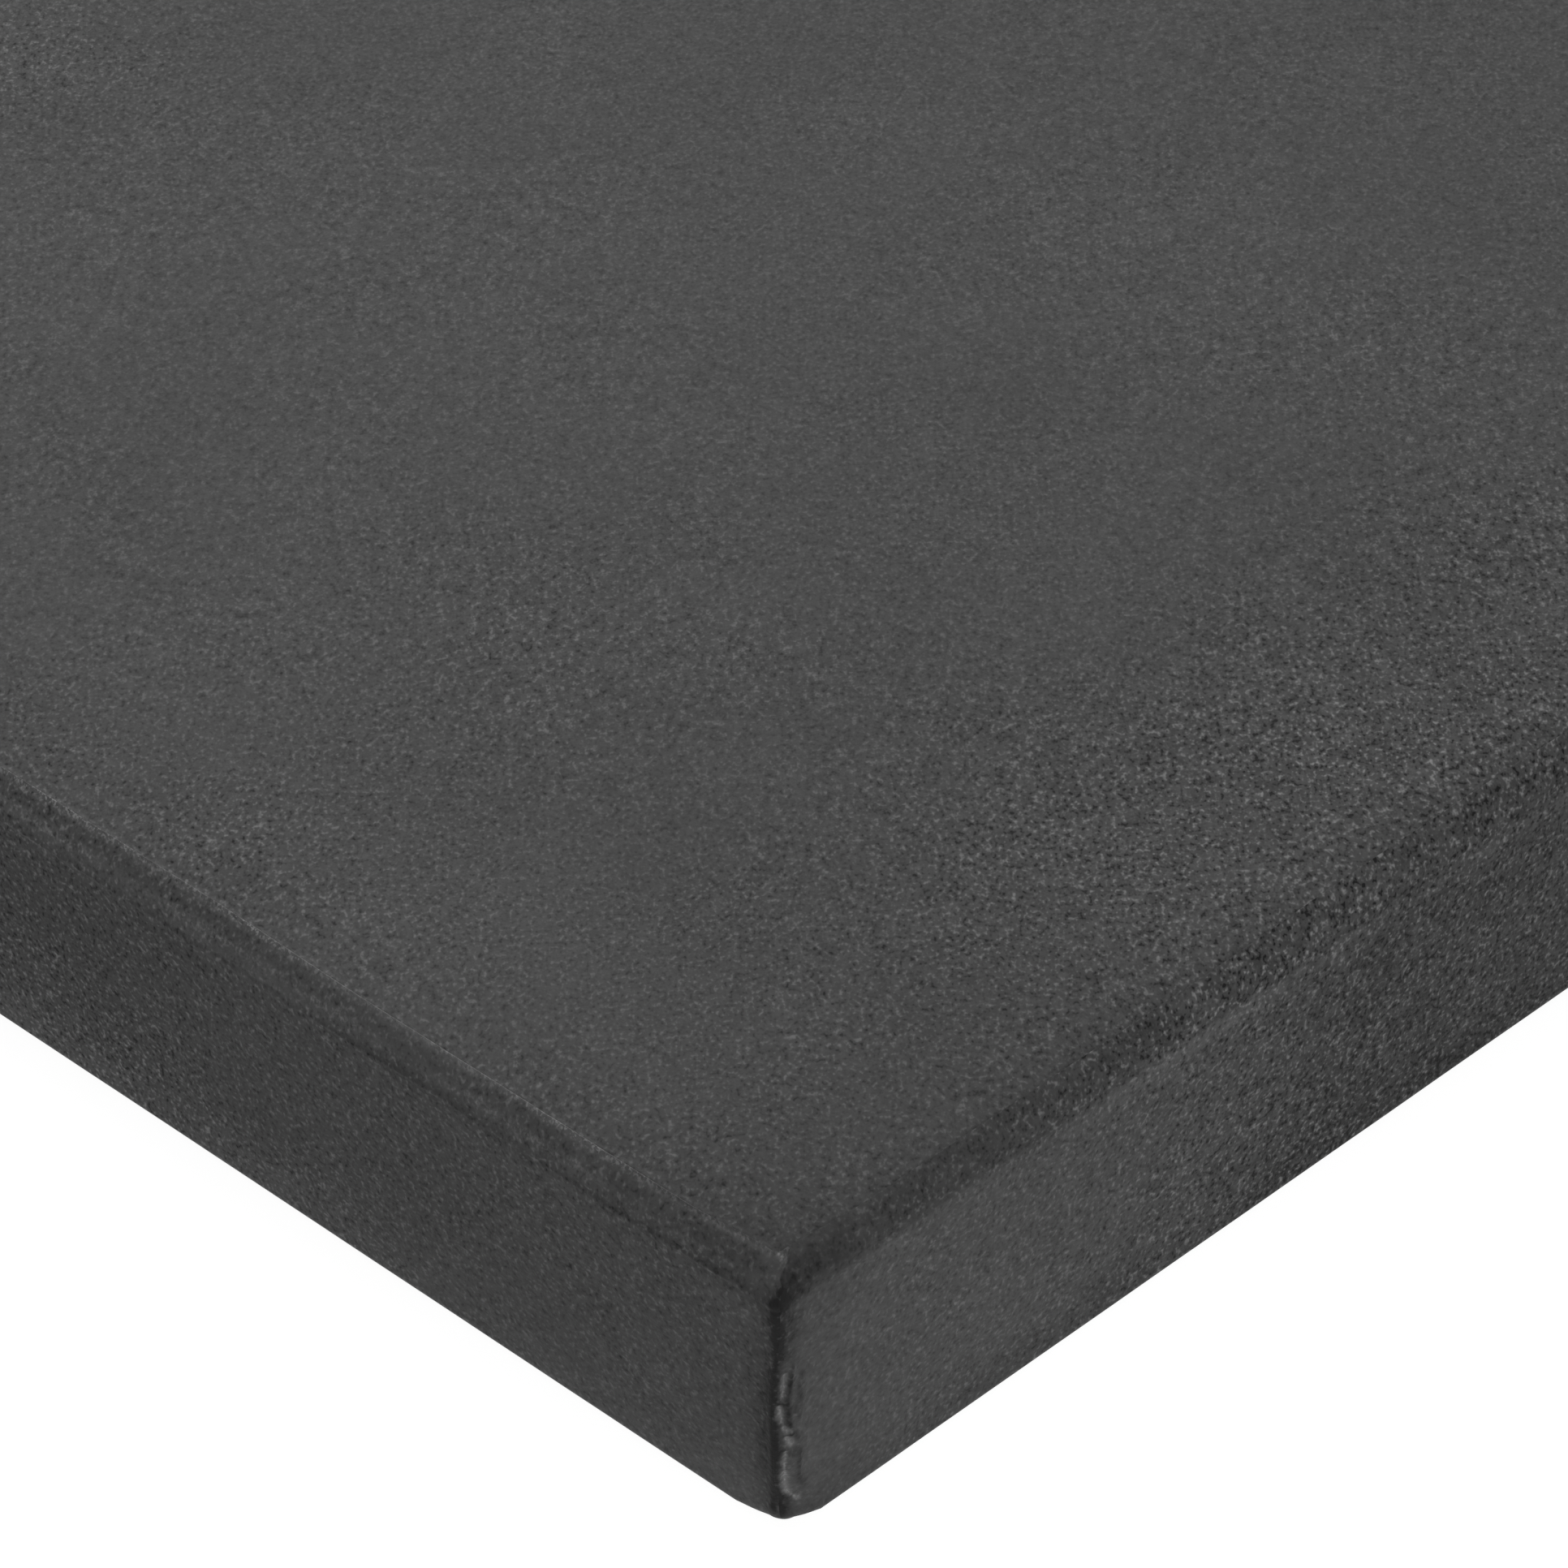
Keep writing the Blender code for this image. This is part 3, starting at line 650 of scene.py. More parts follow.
def make_top_panel(material):
    half_x = HALF_LENGTH - SHOULDER - SEAM_HALF_GAP
    half_y = HALF_WIDTH - SHOULDER - SEAM_HALF_GAP
    x, y = np.meshgrid(panel_lines(half_x, 1), with_fold(panel_lines(half_y, -1)))
    edge_x, edge_y = half_x - np.abs(x), half_y - np.abs(y)
    edge = np.minimum(edge_x, edge_y)
    # the edge follows the wandering seam, and the cloth inside it follows less and less
    wander_y = np.where(y < 0, -seam_wander(FRONT, x + HALF_LENGTH), seam_wander(REAR, HALF_LENGTH - x))
    wander_x = np.where(x > 0, seam_wander(RIGHT, y + HALF_WIDTH), -seam_wander(LEFT, HALF_WIDTH - y))
    moved_y = y + smooth_step(0.06 - edge_y, 0, 0.06) * wander_y
    moved_x = x + smooth_step(0.06 - edge_x, 0, 0.06) * wander_x
    side = np.where(edge_y < edge_x, np.where(y < 0, FRONT, REAR), np.where(x > 0, RIGHT, LEFT))
    along = np.where(edge_y < edge_x, x, y)
    patch = 0.5 + 0.5 * waves(along, side, 0.05, 31)
    fine = waves(x, y, 0.004, 32)
    z = THICKNESS + TOP_CROWN * (1 - np.exp(-edge / 0.06)) - 0.0016 * bump(edge, 0.010)
    z -= SEAM_DEPTH * SEAM_CUT[side] * bump(edge, SEAM_WIDTH)
    z += 0.0012 * RIDGE[side] * (0.7 + 0.4 * patch) * bump(edge - 0.0019, 0.0013) * (1 + 0.35 * fine)
    z += 0.00035 * waves(along, side, 0.012, 33) * bump(edge, 0.012)
    z += smooth_step(edge, 0.01, 0.08) * (0.0007 * waves(x, y, 0.19, 34) + 0.0003 * waves(x, y, 0.06, 35))

    from_right, from_front = HALF_LENGTH - x, HALF_WIDTH + y
    from_seam = half_y + y
    by_corner = np.hypot(from_right, from_front)
    away = smooth_step(from_right, 0.05, 0.17)
    far = smooth_step(from_right, 0.30, 0.40)
    # painted light and shade on the top panel: shine on the seam ridge, shade in its groove, highlights along
    # the seam and in bands beside it, darker near the right front corner, and patches; the panel is also drawn
    # darker far from that corner, and loose threads along the edge are drawn lighter as a painted highlight
    painted_light_and_tone = RIDGE_SHINE[side] * (0.4 + 1.0 * patch) * bump(edge - 0.0016, 0.0010) * (1.5 + 1.5 * fine)
    painted_light_and_tone -= 0.4 * SEAM_CUT[side] * bump(edge, 0.0009)
    painted_light_and_tone += 0.22 * bump(from_seam - 0.064, 0.07) * smooth_step(from_right, 0.15, 0.35)
    painted_light_and_tone += 0.36 * bump(from_seam - 0.0095, 0.004) * smooth_step(from_right, 0.10, 0.20)
    painted_light_and_tone += (0.2 + 0.5 * away + 1.9 * far) * bump(from_seam, 0.0016) - 0.40 * bump(by_corner, 0.065)
    painted_light_and_tone += sum_of_hills(TOP_PAINTED_LIGHT_MARKS, from_right, from_front)
    inwards = from_right + from_front
    painted_light_and_tone -= 0.24 * smooth_step(inwards, 1.15, 1.60)
    fuzz_highlight = FUZZ_HIGHLIGHT[side] * bump(edge, 0.0016) * (0.4 + 0.8 * patch) * (0.3 + 0.7 * away)
    coarse = sum_of_hills(TOP_GRAIN_MARKS, from_right, from_front) - 0.06 - 0.35 * bump(by_corner, 0.08)
    coarse -= 0.26 * smooth_step(inwards, 0.55, 1.00) + 0.20 * smooth_step(inwards, 1.30, 1.60)
    obj = grid_object("top_cover", np.dstack([moved_x, moved_y, z]), material)
    set_pile(obj, painted_light_and_tone, fuzz_highlight, coarse)
    thicken(obj, CLOTH)
    return obj


def make_bottom_panel(material):
    half_x = HALF_LENGTH - BASE_SEAM_INSET
    half_y = HALF_WIDTH - BASE_SEAM_INSET
    x, y = np.meshgrid(
        graded(-half_x, half_x, 0.0006, 0.0006, 0.02, 1.4),
        with_fold(graded(-half_y, half_y, 0.0006, 0.0006, 0.02, 1.4)),
    )
    edge = np.minimum(half_x - np.abs(x), half_y - np.abs(y))
    z = SEAM_DEPTH * 0.7 * bump(edge, SEAM_WIDTH) + 0.0003 * (1 - smooth_step(edge, 0, 0.01))
    z += 0.00025 * (1 + waves(x, y, 0.03, 41)) * smooth_step(edge, 0.004, 0.03)
    obj = grid_object("bottom_cover", tucked(np.dstack([x, y, z])), material, flip=True)
    set_pile(obj, -0.2 + 0 * z, 0 * z, 0 * z)
    thicken(obj, CLOTH)
    return obj


# -------- node materials


class Nodes:
    """Short calls for building a material's node tree."""

    def __init__(self, name):
        self.material = bpy.data.materials.new(name)
        self.material.use_nodes = True
        self.tree = self.material.node_tree
        self.shader = self.tree.nodes["Principled BSDF"]
        self.place = self.add("ShaderNodeTexCoord").outputs["Object"]

    def feed(self, socket, value):
        if isinstance(value, bpy.types.NodeSocket):
            self.tree.links.new(value, socket)
        else:
            socket.default_value = value

    def add(self, kind, values=None, **settings):
        """A node with its settings, and with values or other nodes' outputs fed to its inputs."""
        node = self.tree.nodes.new(kind)
        for key, value in settings.items():
            setattr(node, key, value)
        for key, value in (values or {}).items():
            self.feed(node.inputs[key], value)
        return node

    def math(self, operation, a, b=0.0):
        return self.add("ShaderNodeMath", {0: a, 1: b}, operation=operation).outputs[0]

    def total(self, start, *terms):
        """A start value plus each field times its amount."""
        for field, amount in terms:
            start = self.math("ADD", self.math("MULTIPLY", field, amount), start)
        return start

    def mapped(self, kind, scale, rotation):
        """Turned coordinates: where scale is above 1, POINT squeezes a pattern and TEXTURE draws it out."""
        values = {"Scale": scale, "Rotation": rotation, "Vector": self.place}
        return self.add("ShaderNodeMapping", values, vector_type=kind).outputs[0]

    def noise(self, scale, detail=2.0, roughness=0.5, place=None):
        """Noise centred on 0, from about -1 to 1."""
        values = {"Scale": scale, "Detail": detail, "Roughness": roughness, "Vector": place or self.place}
        field = self.add("ShaderNodeTexNoise", values).outputs["Fac"]
        return self.math("MULTIPLY", self.math("SUBTRACT", field, 0.5), 2.0)

    def cells(self, scale):
        """Distance to the nearest of many scattered points."""
        values = {"Scale": scale, "Vector": self.place}
        return self.add("ShaderNodeTexVoronoi", values, feature="F1").outputs["Distance"]

    def axes(self):
        return self.add("ShaderNodeSeparateXYZ", {0: self.place}).outputs

    def stored(self, name):
        return self.add("ShaderNodeAttribute", attribute_name=name).outputs["Fac"]

    def ramp(self, value, low, high, out_low=0.0, out_high=1.0):
        values = {"Value": value, "From Min": low, "From Max": high, "To Min": out_low, "To Max": out_high}
        return self.add("ShaderNodeMapRange", values, interpolation_type="SMOOTHSTEP").outputs["Result"]

    def shade(self, **values):
        """Feeds the shader's inputs, by socket name with _ for spaces."""
        for key, value in values.items():
            self.feed(self.shader.inputs[key.replace("_", " ")], value)

    def surface(self, bright, colour, roughness, height=None, depth=0.0, strength=1.0):
        """Colour times a varying brightness, roughness and, where given, a bump depth metres deep."""
        tint = self.add("ShaderNodeVectorMath", {0: colour, "Scale": bright}, operation="SCALE")
        self.shade(Base_Color=tint.outputs[0], Roughness=roughness)
        if height:
            values = {"Strength": strength, "Distance": depth, "Height": height}
            self.shade(Normal=self.add("ShaderNodeBump", values).outputs["Normal"])


def velour():
    """Short charcoal pile: bright and dark tufts a millimetre or two across, patches, a little lint, and the
    painted light and shade that the cover's pieces carry.
    """
    n = Nodes("charcoal_velour")
    patches = n.ramp(n.noise(8.0, 2.0), -0.30, 0.30, 0.82, 1.22)
    # the pile is rougher along the right end, away from the front corner
    x, y, _ = n.axes()
    by_end = n.ramp(x, HALF_LENGTH - 0.30, HALF_LENGTH - 0.03)
    off_corner = n.ramp(y, -HALF_WIDTH + 0.05, -HALF_WIDTH + 0.38)
    patches = n.total(patches, (n.math("MULTIPLY", by_end, off_corner), 1.1))
    # the pile leans one way over the whole cover, so its tufts are longer that way
    lean = n.mapped("TEXTURE", (1.0, PILE_LEAN, 1.0), (0.0, 0.0, PILE_TURN))
    tufts = n.noise(410.0, 1.5, 0.6, lean)
    peaks = n.ramp(tufts, 0.05, 0.55)
    pits = n.ramp(tufts, -0.60, -0.05, 1.0, 0.0)
    speckle = n.math("SUBTRACT", n.math("MULTIPLY", peaks, 0.95), n.math("MULTIPLY", pits, 0.55))
    coarse = n.math("ADD", n.stored("coarse"), 1.0)
    speckle = n.math("MULTIPLY", n.math("MULTIPLY", speckle, patches), coarse)
    clumps = n.math("MULTIPLY", n.noise(185.0, 2.0, 0.5, lean), patches)
    mottle = n.noise(7.0, 3.0, 0.55)
    # the cover's painted light and shade lightens and darkens the colour here
    bright = n.total(0.95, (speckle, 0.95), (clumps, 0.34), (mottle, 0.14), (n.stored("painted_light_and_tone"), 0.45))
    # loose threads stand up where the cloth is sewn, drawn lighter there as a painted highlight
    threads = n.ramp(n.noise(620.0, 1.0, 0.5, lean), 0.0, 0.25)
    bright = n.total(bright, (n.math("MULTIPLY", n.stored("fuzz_highlight"), threads), 1.3))
    lint = n.ramp(n.cells(7.0), 0.006, 0.014, 1.4, 0.0)
    bright = n.math("ADD", n.math("MAXIMUM", bright, 0.2), lint)
    height = n.total(tufts, (clumps, 0.6))
    n.surface(bright, VELOUR_COLOUR, n.ramp(tufts, -0.5, 0.5, 0.98, 0.86), height, 0.0004, 0.5)
    n.shade(Specular_IOR_Level=0.2, Sheen_Tint=(1.0, 1.0, 1.0, 1.0))
    n.shade(Sheen_Weight=VELOUR_SHEEN, Sheen_Roughness=0.35)
    return n.material


def woven(name, colour, threads, roughness=0.85, variation=0.10, sheen=0.1):
    """Plain weave: warp and weft threads crossing, threads to the metre."""
    n = Nodes(name)
    x, y, z = n.axes()
    directions = (n.math("ADD", x, y), n.math("ADD", z, n.math("SUBTRACT", x, y)))
    warp, weft = (n.math("SINE", n.math("MULTIPLY", axis, threads * 2 * math.pi)) for axis in directions)
    weave = n.math("MULTIPLY", warp, weft)
    bright = n.total(1.0, (weave, variation), (n.noise(60.0, 3.0), 0.12))
    uneven = n.ramp(weave, -1.0, 1.0, roughness + 0.08, roughness - 0.05)
    n.surface(bright, colour, uneven, weave, 0.00015, 0.7)
    n.shade(Sheen_Weight=sheen)
    return n.material


def foam(name, colour, cells):
    """Cut open-cell foam: fine pores, a few bigger ones, faint waves left by the saw."""
    n = Nodes(name)
    holes = n.ramp(n.cells(cells), 0.15, 0.55)
    saw = n.noise(12.0, 1.0, 0.4, n.mapped("POINT", (0.4, 0.4, 6.0), (0.0, 0.0, 0.0)))
    bright = n.total(0.82, (holes, 0.22), (saw, 0.06))
    n.surface(bright, colour, n.ramp(holes, 0.0, 1.0, 0.98, 0.86), holes, 0.0004, 0.7)
    n.shade(Subsurface_Weight=0.05)
    return n.material


def wadding():
    n = Nodes("polyester_wadding")
    strands = n.noise(220.0, 4.0, 0.65, n.mapped("POINT", (1.0, 0.25, 1.0), (0.0, 0.0, 0.7)))
    clumps = n.noise(35.0, 3.0)
    bright = n.total(0.96, (strands, 0.18), (clumps, 0.10))
    height = n.total(strands, (clumps, 1.5))
    n.surface(bright, (0.86, 0.86, 0.84), n.ramp(strands, -0.4, 0.4, 0.9, 1.0), height, 0.0012, 0.6)
    n.shade(Sheen_Weight=0.3)
    return n.material


def moulded(name, colour, roughness, metallic, wear):
    """Zip parts: a satin surface with fine pitting and patches rubbed a little brighter."""
    n = Nodes(name)
    pits = n.noise(900.0, 3.0, 0.6)
    rubbed = n.noise(160.0, 2.0)
    bright = n.total(1.0, (rubbed, wear), (pits, 0.08))
    uneven = n.ramp(rubbed, -0.4, 0.4, roughness + 0.10, roughness - 0.08)
    n.surface(bright, colour, uneven, pits, 0.00005, 0.4)
    n.shade(Metallic=metallic)
    return n.material


def floor_material():
    n = Nodes("studio_floor")
    n.surface(n.total(FLOOR_COLOUR, (n.noise(1.3, 3.0), 0.01)), (1.0, 1.0, 1.0), 0.8)
    n.shade(Emission_Color=(1.0, 1.0, 1.0, 1.0), Emission_Strength=FLOOR_GLOW)
    return n.material


# -------- zip, stitches and label


def many(name, shape_points, shape_faces, places, material):
    """One mesh holding a copy of a small shape at each 4x4 place."""
    shape_points = np.asarray(shape_points, float)
    points, faces = [], []
    for k, place in enumerate(places):
        m = np.array(place, float)
        points.append(shape_points @ m[:3, :3].T + m[:3, 3])
        faces += [[i + k * len(shape_points) for i in f] for f in shape_faces]
    return mesh_object(name, np.concatenate(points), faces, material)


def capsule(length, radius, sides=6, flat=1.0):
    """A small rounded rod along X."""
    half, shoulder = length / 2, length / 2 - radius * 0.6
    points = [
        (x, radius * share * math.cos(a) * flat, radius * share * math.sin(a))
        for x, share in ((-half, 0.35), (-shoulder, 0.9), (shoulder, 0.9), (half, 0.35))
        for a in (2 * math.pi * k / sides for k in range(sides))
    ]
    faces = [list(range(sides))[::-1], [3 * sides + k for k in range(sides)]]
    for ring in range(3):
        for k in range(sides):
            a, b = ring * sides + k, ring * sides + (k + 1) % sides
            faces.append([a, b, b + sides, a + sides])
    return points, faces


def on_rear_wall(x, height):
    """Points on the finished rear boxing at places along it and a height."""
    distance = HALF_LENGTH - np.asarray(x, float)
    s = BAND_LENGTH + (THICKNESS - SHOULDER - height)
    steps = np.array([-0.001, 0.0, 0.001])
    d, down = np.meshgrid(distance, s + steps)
    return boxing_points(REAR, d, down)[0][1]


def make_zip_stitches(material):
    """Two rows of stitches along the zip, one in each folded edge."""
    x = np.arange(-ZIP_HALF_LENGTH + 0.004, ZIP_HALF_LENGTH - 0.004, STITCH_PITCH)
    made = []
    for name, sign in (("upper", 1), ("lower", -1)):
        points = on_rear_wall(x, MID_HEIGHT + sign * (ZIP_SLOT_HALF_HEIGHT + STITCH_INSET))
        places = [
            Matrix.Translation(Vector(p)) @ Matrix.Rotation(0.03 * math.sin(37.0 * k), 4, "Y")
            for k, p in enumerate(points)
        ]
        made.append(many(f"zip_stitches_{name}", *capsule(0.0026, 0.00035), places, material))
    return made


def make_coils(material):
    """The two rows of nylon loops, interleaved along the middle, and the cords they are sewn down over."""
    made = []
    for name, sign in (("upper", 1), ("lower", -1)):
        low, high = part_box(f"zip_coil_{name}")
        inner, outer = (low.z, high.z) if sign > 0 else (high.z, low.z)
        inner -= sign * 0.00045
        middle = Vector(((low.x + high.x) / 2, (low.y + high.y) / 2, (inner + outer) / 2))
        first = low.x + COIL_PITCH * (0.75 if sign > 0 else 0.25)
        turn = Matrix.Rotation(sign * 0.12, 4, "Y") @ Matrix.Rotation(math.pi / 2, 4, "Y")
        places = [
            Matrix.Translation((first + COIL_PITCH * k, middle.y, middle.z)) @ turn
            for k in range(int((high.x - low.x) / COIL_PITCH) - 1)
        ]
        coil = many(f"coil_{name}", *capsule(abs(outer - inner), 0.00052, flat=1.3), places, material)
        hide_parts(f"zip_coil_{name}")
        cord_place = Matrix.Translation((middle.x, middle.y - 0.0003, outer - sign * (high.z - low.z) * 0.25))
        cord = many(f"coil_cord_{name}", *capsule(high.x - low.x, 0.0005, 8), [cord_place], material)
        made += [coil, cord]
    return made


def make_label(material):
    """A folded satin loop whose two ends are caught in the seam beside the zip."""
    low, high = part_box("care_label")
    length = high.x - low.x
    sheet = 0.00028
    half_loop = 0.0009
    run = np.linspace(0, 1, 26)
    rise = 1.2 * half_loop * np.sin(run * math.pi / 2) + 0.0016 * run**1.5
    outer = np.stack([high.x - length * run, low.y + rise + sheet], axis=1)
    turn = np.linspace(0.3, math.pi - 0.3, 7)
    bend = half_loop * np.stack([-np.sin(turn), np.cos(turn) - 1], axis=1) + (low.x + 0.0004, outer[-1, 1])
    inner = outer[::-1].copy()
    inner[:, 1] -= 1.9 * half_loop * np.minimum(1.0, 1.5 * run[::-1])
    path = np.concatenate([outer, bend, inner])
    x, z = np.meshgrid(path[:, 0], np.linspace(low.z, high.z, 12), indexing="ij")
    y = np.maximum(path[:, 1:] + 0.00024 * waves(x, z, 0.02, 51), low.y - 0.0002)
    obj = grid_object("care_label_ribbon", np.dstack([x, y, z]), material)
    thicken(obj, sheet)
    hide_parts("care_label")
    return obj


# -------- inner layers


# Where inner layers give way to the cover.  Each row is a pair of depths (0 from the nearer end, 1 from the
# nearer long side, 2 from the top, 3 from the floor), their least sum in the CAD, what that becomes, and the
# sum past which nothing moves.
EDGE_ROOM = (
    (0, 2, 0.0119, 0.0215, 0.044),
    (1, 2, 0.0119, 0.0215, 0.044),
    (0, 3, 0.0072, 0.0125, 0.030),
    (1, 3, 0.0072, 0.0125, 0.030),
    (0, 1, 0.0131, 0.0175, 0.044),
)


def eased(points):
    """Draws the edges of an inner layer in, to lie behind the cover's seams, crease and corners."""
    plan, height = points[:, :2], points[:, 2]
    halves = np.array([HALF_LENGTH, HALF_WIDTH])
    depths = np.column_stack([halves - np.abs(plan), THICKNESS - height, height])
    for first, second, low, low_to, high in EDGE_ROOM:
        total = depths[:, first] + depths[:, second]
        wanted = low_to + (total - low) * (high - low_to) / (high - low)
        push = np.where(total < high, np.maximum(wanted - total, 0) / 2, 0)
        depths[:, first] += push
        depths[:, second] += push
        if second > 1:
            depths[:, 5 - second] -= push
    return tucked(np.column_stack([np.sign(plan) * (halves - depths[:, :2]), depths[:, 3]]))


def joined_layer(frame, name, material, lump=0.0, seed=0):
    """The seat and back halves of a CAD layer as one piece, cut finely enough across the fold to bend."""
    bm = bmesh.new()
    for half in ("seat", "back"):
        bm.from_mesh(frame["nodes"][f"{name}_{half}"].data)
    bmesh.ops.remove_doubles(bm, verts=bm.verts, dist=1e-5)
    at_fold = 0.0004
    cut = [f for f in bm.faces if all(abs(v.co.y) < at_fold for v in f.verts)]
    bmesh.ops.delete(bm, geom=cut, context="FACES")
    for v in bm.verts:
        if abs(v.co.y) < at_fold:
            v.co.y = 0.0
    bmesh.ops.remove_doubles(bm, verts=bm.verts, dist=1e-4)
    reach = FOLD_REACH + FOLD_STEP
    across = list(np.arange(-reach, reach + FOLD_STEP / 2, FOLD_STEP))
    across += [sign * y for sign in (-1, 1) for y in np.arange(reach + 0.03, HALF_WIDTH - 0.05, 0.04)]
    along = list(np.arange(-HALF_LENGTH + 0.065, HALF_LENGTH - 0.05, 0.05))
    for axis, half, cuts in (((0, 1, 0), HALF_WIDTH, across), ((1, 0, 0), HALF_LENGTH, along)):
        cuts += [sign * (half - inset) for sign in (-1, 1) for inset in (0.022, 0.032, 0.042)]
        for place in cuts:
            geom = bm.verts[:] + bm.edges[:] + bm.faces[:]
            bmesh.ops.bisect_plane(bm, geom=geom, dist=1e-6, plane_co=Vector(axis) * place, plane_no=axis)
    if lump:
        bm.normal_update()
        for v in bm.verts:
            v.co -= v.normal * lump * (0.5 + 0.5 * float(waves(v.co.x, v.co.y + 3 * v.co.z, 0.05, seed)))
    for v, place in zip(bm.verts, eased(np.array([v.co for v in bm.verts]))):
        v.co = place
    mesh = bpy.data.meshes.new(name)
    bm.to_mesh(mesh)
    bm.free()
    mesh.materials.append(material)
    mesh.shade_smooth()
    mesh.set_sharp_from_angle(angle=math.radians(40))
    obj = add_object(name, mesh)
    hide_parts(f"{name}_seat", f"{name}_back")
    return obj


def bend_at_fold(obj):
    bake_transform(obj)


# -------- light and camera


def make_floor():
    half = 30.0
    points = [(-half, -half, 0), (half, -half, 0), (half, half, 0), (-half, half, 0)]
    floor = mesh_object("studio_floor", points, [[0, 1, 2, 3]], floor_material(), smooth=False)
    floor.location.z = -0.0005


def area_light(name, place, aim, size, power):
    light = bpy.data.lights.new(name, "AREA")
    light.shape = "DISK"
    light.size = size
    light.energy = power
    obj = add_object(name, light)
    obj.location = place
    obj.rotation_mode = "QUATERNION"
    obj.rotation_quaternion = (Vector(aim) - Vector(place)).to_track_quat("-Z", "Y")
    obj.visible_camera = False


def make_light():
    world = bpy.data.worlds.new("studio")
    world.use_nodes = True
    background = world.node_tree.nodes["Background"]
    background.inputs["Color"].default_value = (1.0, 1.0, 1.0, 1.0)
    background.inputs["Strength"].default_value = WORLD_LIGHT
    scene = bpy.context.scene
    scene.world = world
    scene.view_settings.view_transform = "Standard"
    scene.view_settings.look = "None"
    aim = (HALF_LENGTH - 0.3, -HALF_WIDTH + 0.3, THICKNESS)
    for name, place, size, power in LAMPS:
        area_light(name, place, aim, size, power)


def make_camera():
    azimuth, elevation, roll = map(math.radians, (CAMERA_AZIMUTH, CAMERA_ELEVATION, CAMERA_ROLL))
    level = math.cos(elevation)
    back = Vector((math.sin(azimuth) * level, -math.cos(azimuth) * level, math.sin(elevation)))
    right = Vector((0, 0, 1)).cross(back).normalized()
    up = back.cross(right)
    rolled_right = right * math.cos(roll) + up * math.sin(roll)
    rolled_up = up * math.cos(roll) - right * math.sin(roll)
    data = bpy.data.cameras.new("camera")
    data.lens = CAMERA_LENS
    data.sensor_width = 36.0
    camera = add_object("camera", data)
    axes = Matrix((rolled_right, rolled_up, back)).transposed().to_4x4()
    camera.matrix_world = Matrix.Translation(Vector(CAMERA_AIM) + back * CAMERA_DISTANCE) @ axes
    bpy.context.scene.camera = camera


# -------- the whole mattress


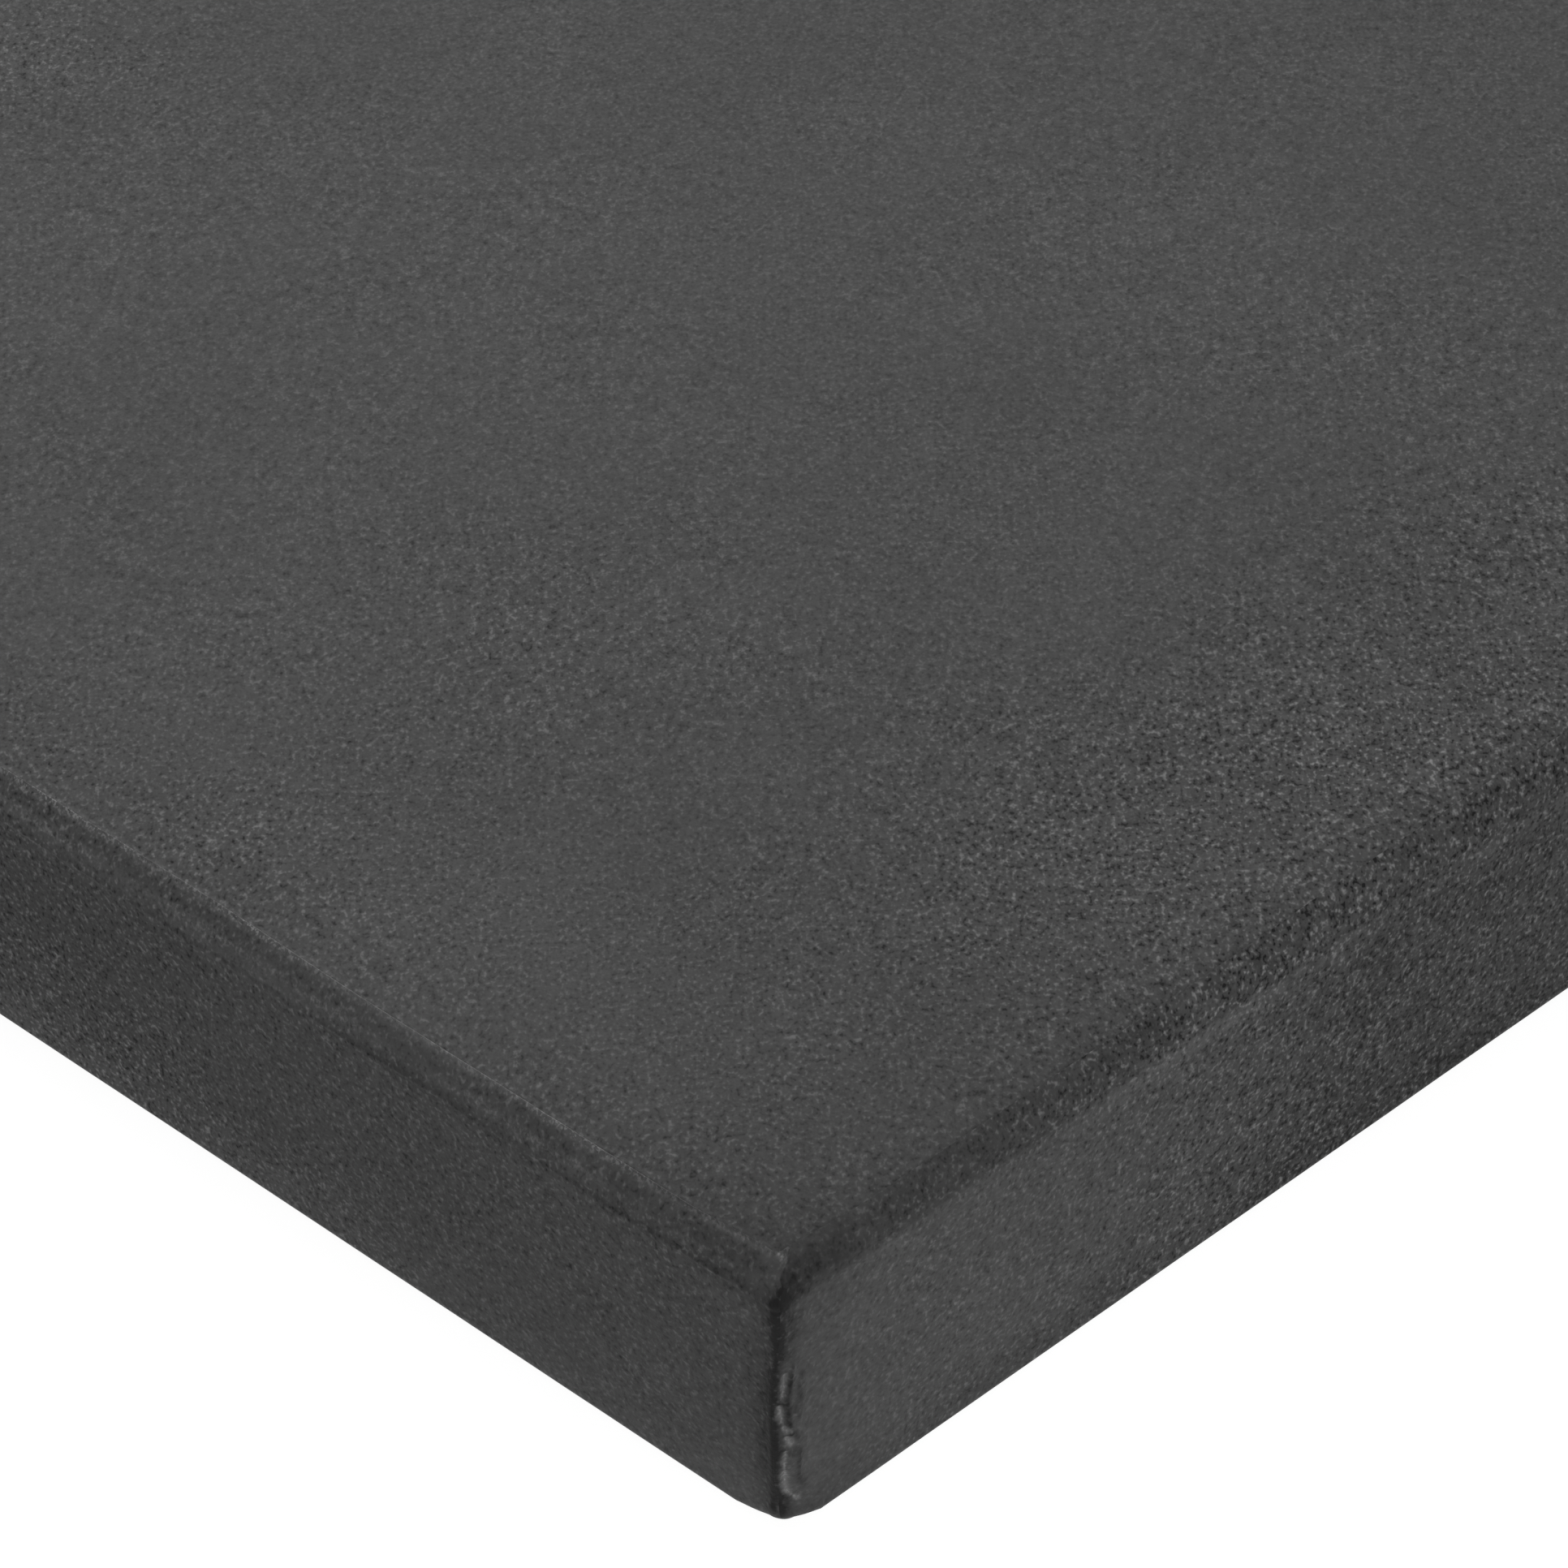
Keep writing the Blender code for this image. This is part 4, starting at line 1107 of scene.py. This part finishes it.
def make_cover(material):
    """The cover's panels and boxings: the front and rear boxings ride on their halves, the rest run across the
    fold.
    """
    end_cut = (PROFILE_LENGTH + SEAM_ALLOWANCE, WIDTH + SEAM_ALLOWANCE)
    bending = (
        (make_top_panel(material), TRIMMED_PANEL, "fibre_pad_top"),
        (make_bottom_panel(material), (WIDTH, LENGTH), "fibre_pad_bottom"),
        (make_boxing("right_boxing", RIGHT, 0.0, WIDTH, material), end_cut, "core_foam"),
        (make_boxing("left_boxing", LEFT, 0.0, WIDTH, material), end_cut, "core_foam"),
    )
    for piece, flat, under in bending:
        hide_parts(f"{piece.name}_seat", f"{piece.name}_back")
        bend_at_fold(piece)
    slot_top = WALL_FOOT + BASE_TURN - MID_HEIGHT - ZIP_SLOT_HALF_HEIGHT
    slot_bottom = slot_top + 2 * ZIP_SLOT_HALF_HEIGHT
    start = HALF_LENGTH - ZIP_HALF_LENGTH
    end = LENGTH - start
    strips = (
        ("front_boxing", FRONT, 0.0, LENGTH, WHOLE_DROP, 0.0006, "seat_half"),
        ("rear_boxing_upper", REAR, start, end, (0.0, slot_top), 0.0008, "back_half"),
        ("rear_boxing_lower", REAR, start, end, (slot_bottom, PROFILE_LENGTH), 0.0008, "back_half"),
        ("rear_boxing_right_end", REAR, 0.0, start, WHOLE_DROP, 0.0008, "back_half"),
        ("rear_boxing_left_end", REAR, end, LENGTH, WHOLE_DROP, 0.0008, "back_half"),
    )
    for node, side, low, high, rows, step, body in strips:
        strip = make_boxing(f"{node}_cloth", side, low, high, material, rows, step)
        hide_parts(node)
        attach(strip, body)


def make_inside(frame):
    cloth = woven("liner_cotton", (0.70, 0.69, 0.66), 900.0)
    soft = foam("comfort_foam", (0.80, 0.84, 0.88), 900.0)
    firm = foam("support_foam", (0.90, 0.86, 0.70), 600.0)
    fluff = wadding()
    layers = (
        ("fibre_pad_top", fluff, 0.0007, "fibre_wadding"),
        ("comfort_foam", soft, 0.0001, "comfort_foam"),
        ("core_foam", firm, 0.0001, "support_foam"),
        ("base_foam", firm, 0.0001, "support_foam"),
        ("fibre_pad_bottom", fluff, 0.0007, "fibre_wadding"),
    )
    for k, (name, material, lump, slot) in enumerate(layers):
        layer = joined_layer(frame, name, material, lump, 61 + k)
        bend_at_fold(layer)
    border = (THICKNESS + BORDER_TURNING, 2 * (LENGTH + WIDTH))
    for part, flat in (("top", TRIMMED_PANEL), ("bottom", TRIMMED_PANEL), ("border", border)):
        sheet = joined_layer(frame, f"liner_{part}", cloth)
        bend_at_fold(sheet)


def make_zip(frame):
    thread = woven("sewing_thread", (0.045, 0.045, 0.047), 4000.0, 0.7)
    tape = woven("zip_tape_weave", (0.030, 0.030, 0.032), 1600.0, 0.8)
    nylon = moulded("zip_nylon", (0.022, 0.022, 0.024), 0.42, 0.0, 0.2)
    metal = moulded("zip_metal", (0.16, 0.16, 0.17), 0.34, 1.0, 0.35)
    satin = woven("label_satin", (0.30, 0.30, 0.295), 2500.0, 0.5, 0.04, 0.2)
    for obj in make_coils(nylon):
        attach(obj, "back_half")
    for obj in make_zip_stitches(thread):
        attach(obj, "back_half")
    label = make_label(satin)
    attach(label, "back_half")
    metal_parts = ("stop_left", "stop_right", "slider", "pull")
    for material, names in ((tape, ("tape_upper", "tape_lower")), (metal, metal_parts)):
        for name in names:
            for slot in frame["nodes"][f"zip_{name}"].material_slots:
                slot.material = material


def main():
    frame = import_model()
    make_camera()
    make_light()
    make_floor()
    make_cover(velour())
    make_inside(frame)
    make_zip(frame)


main()
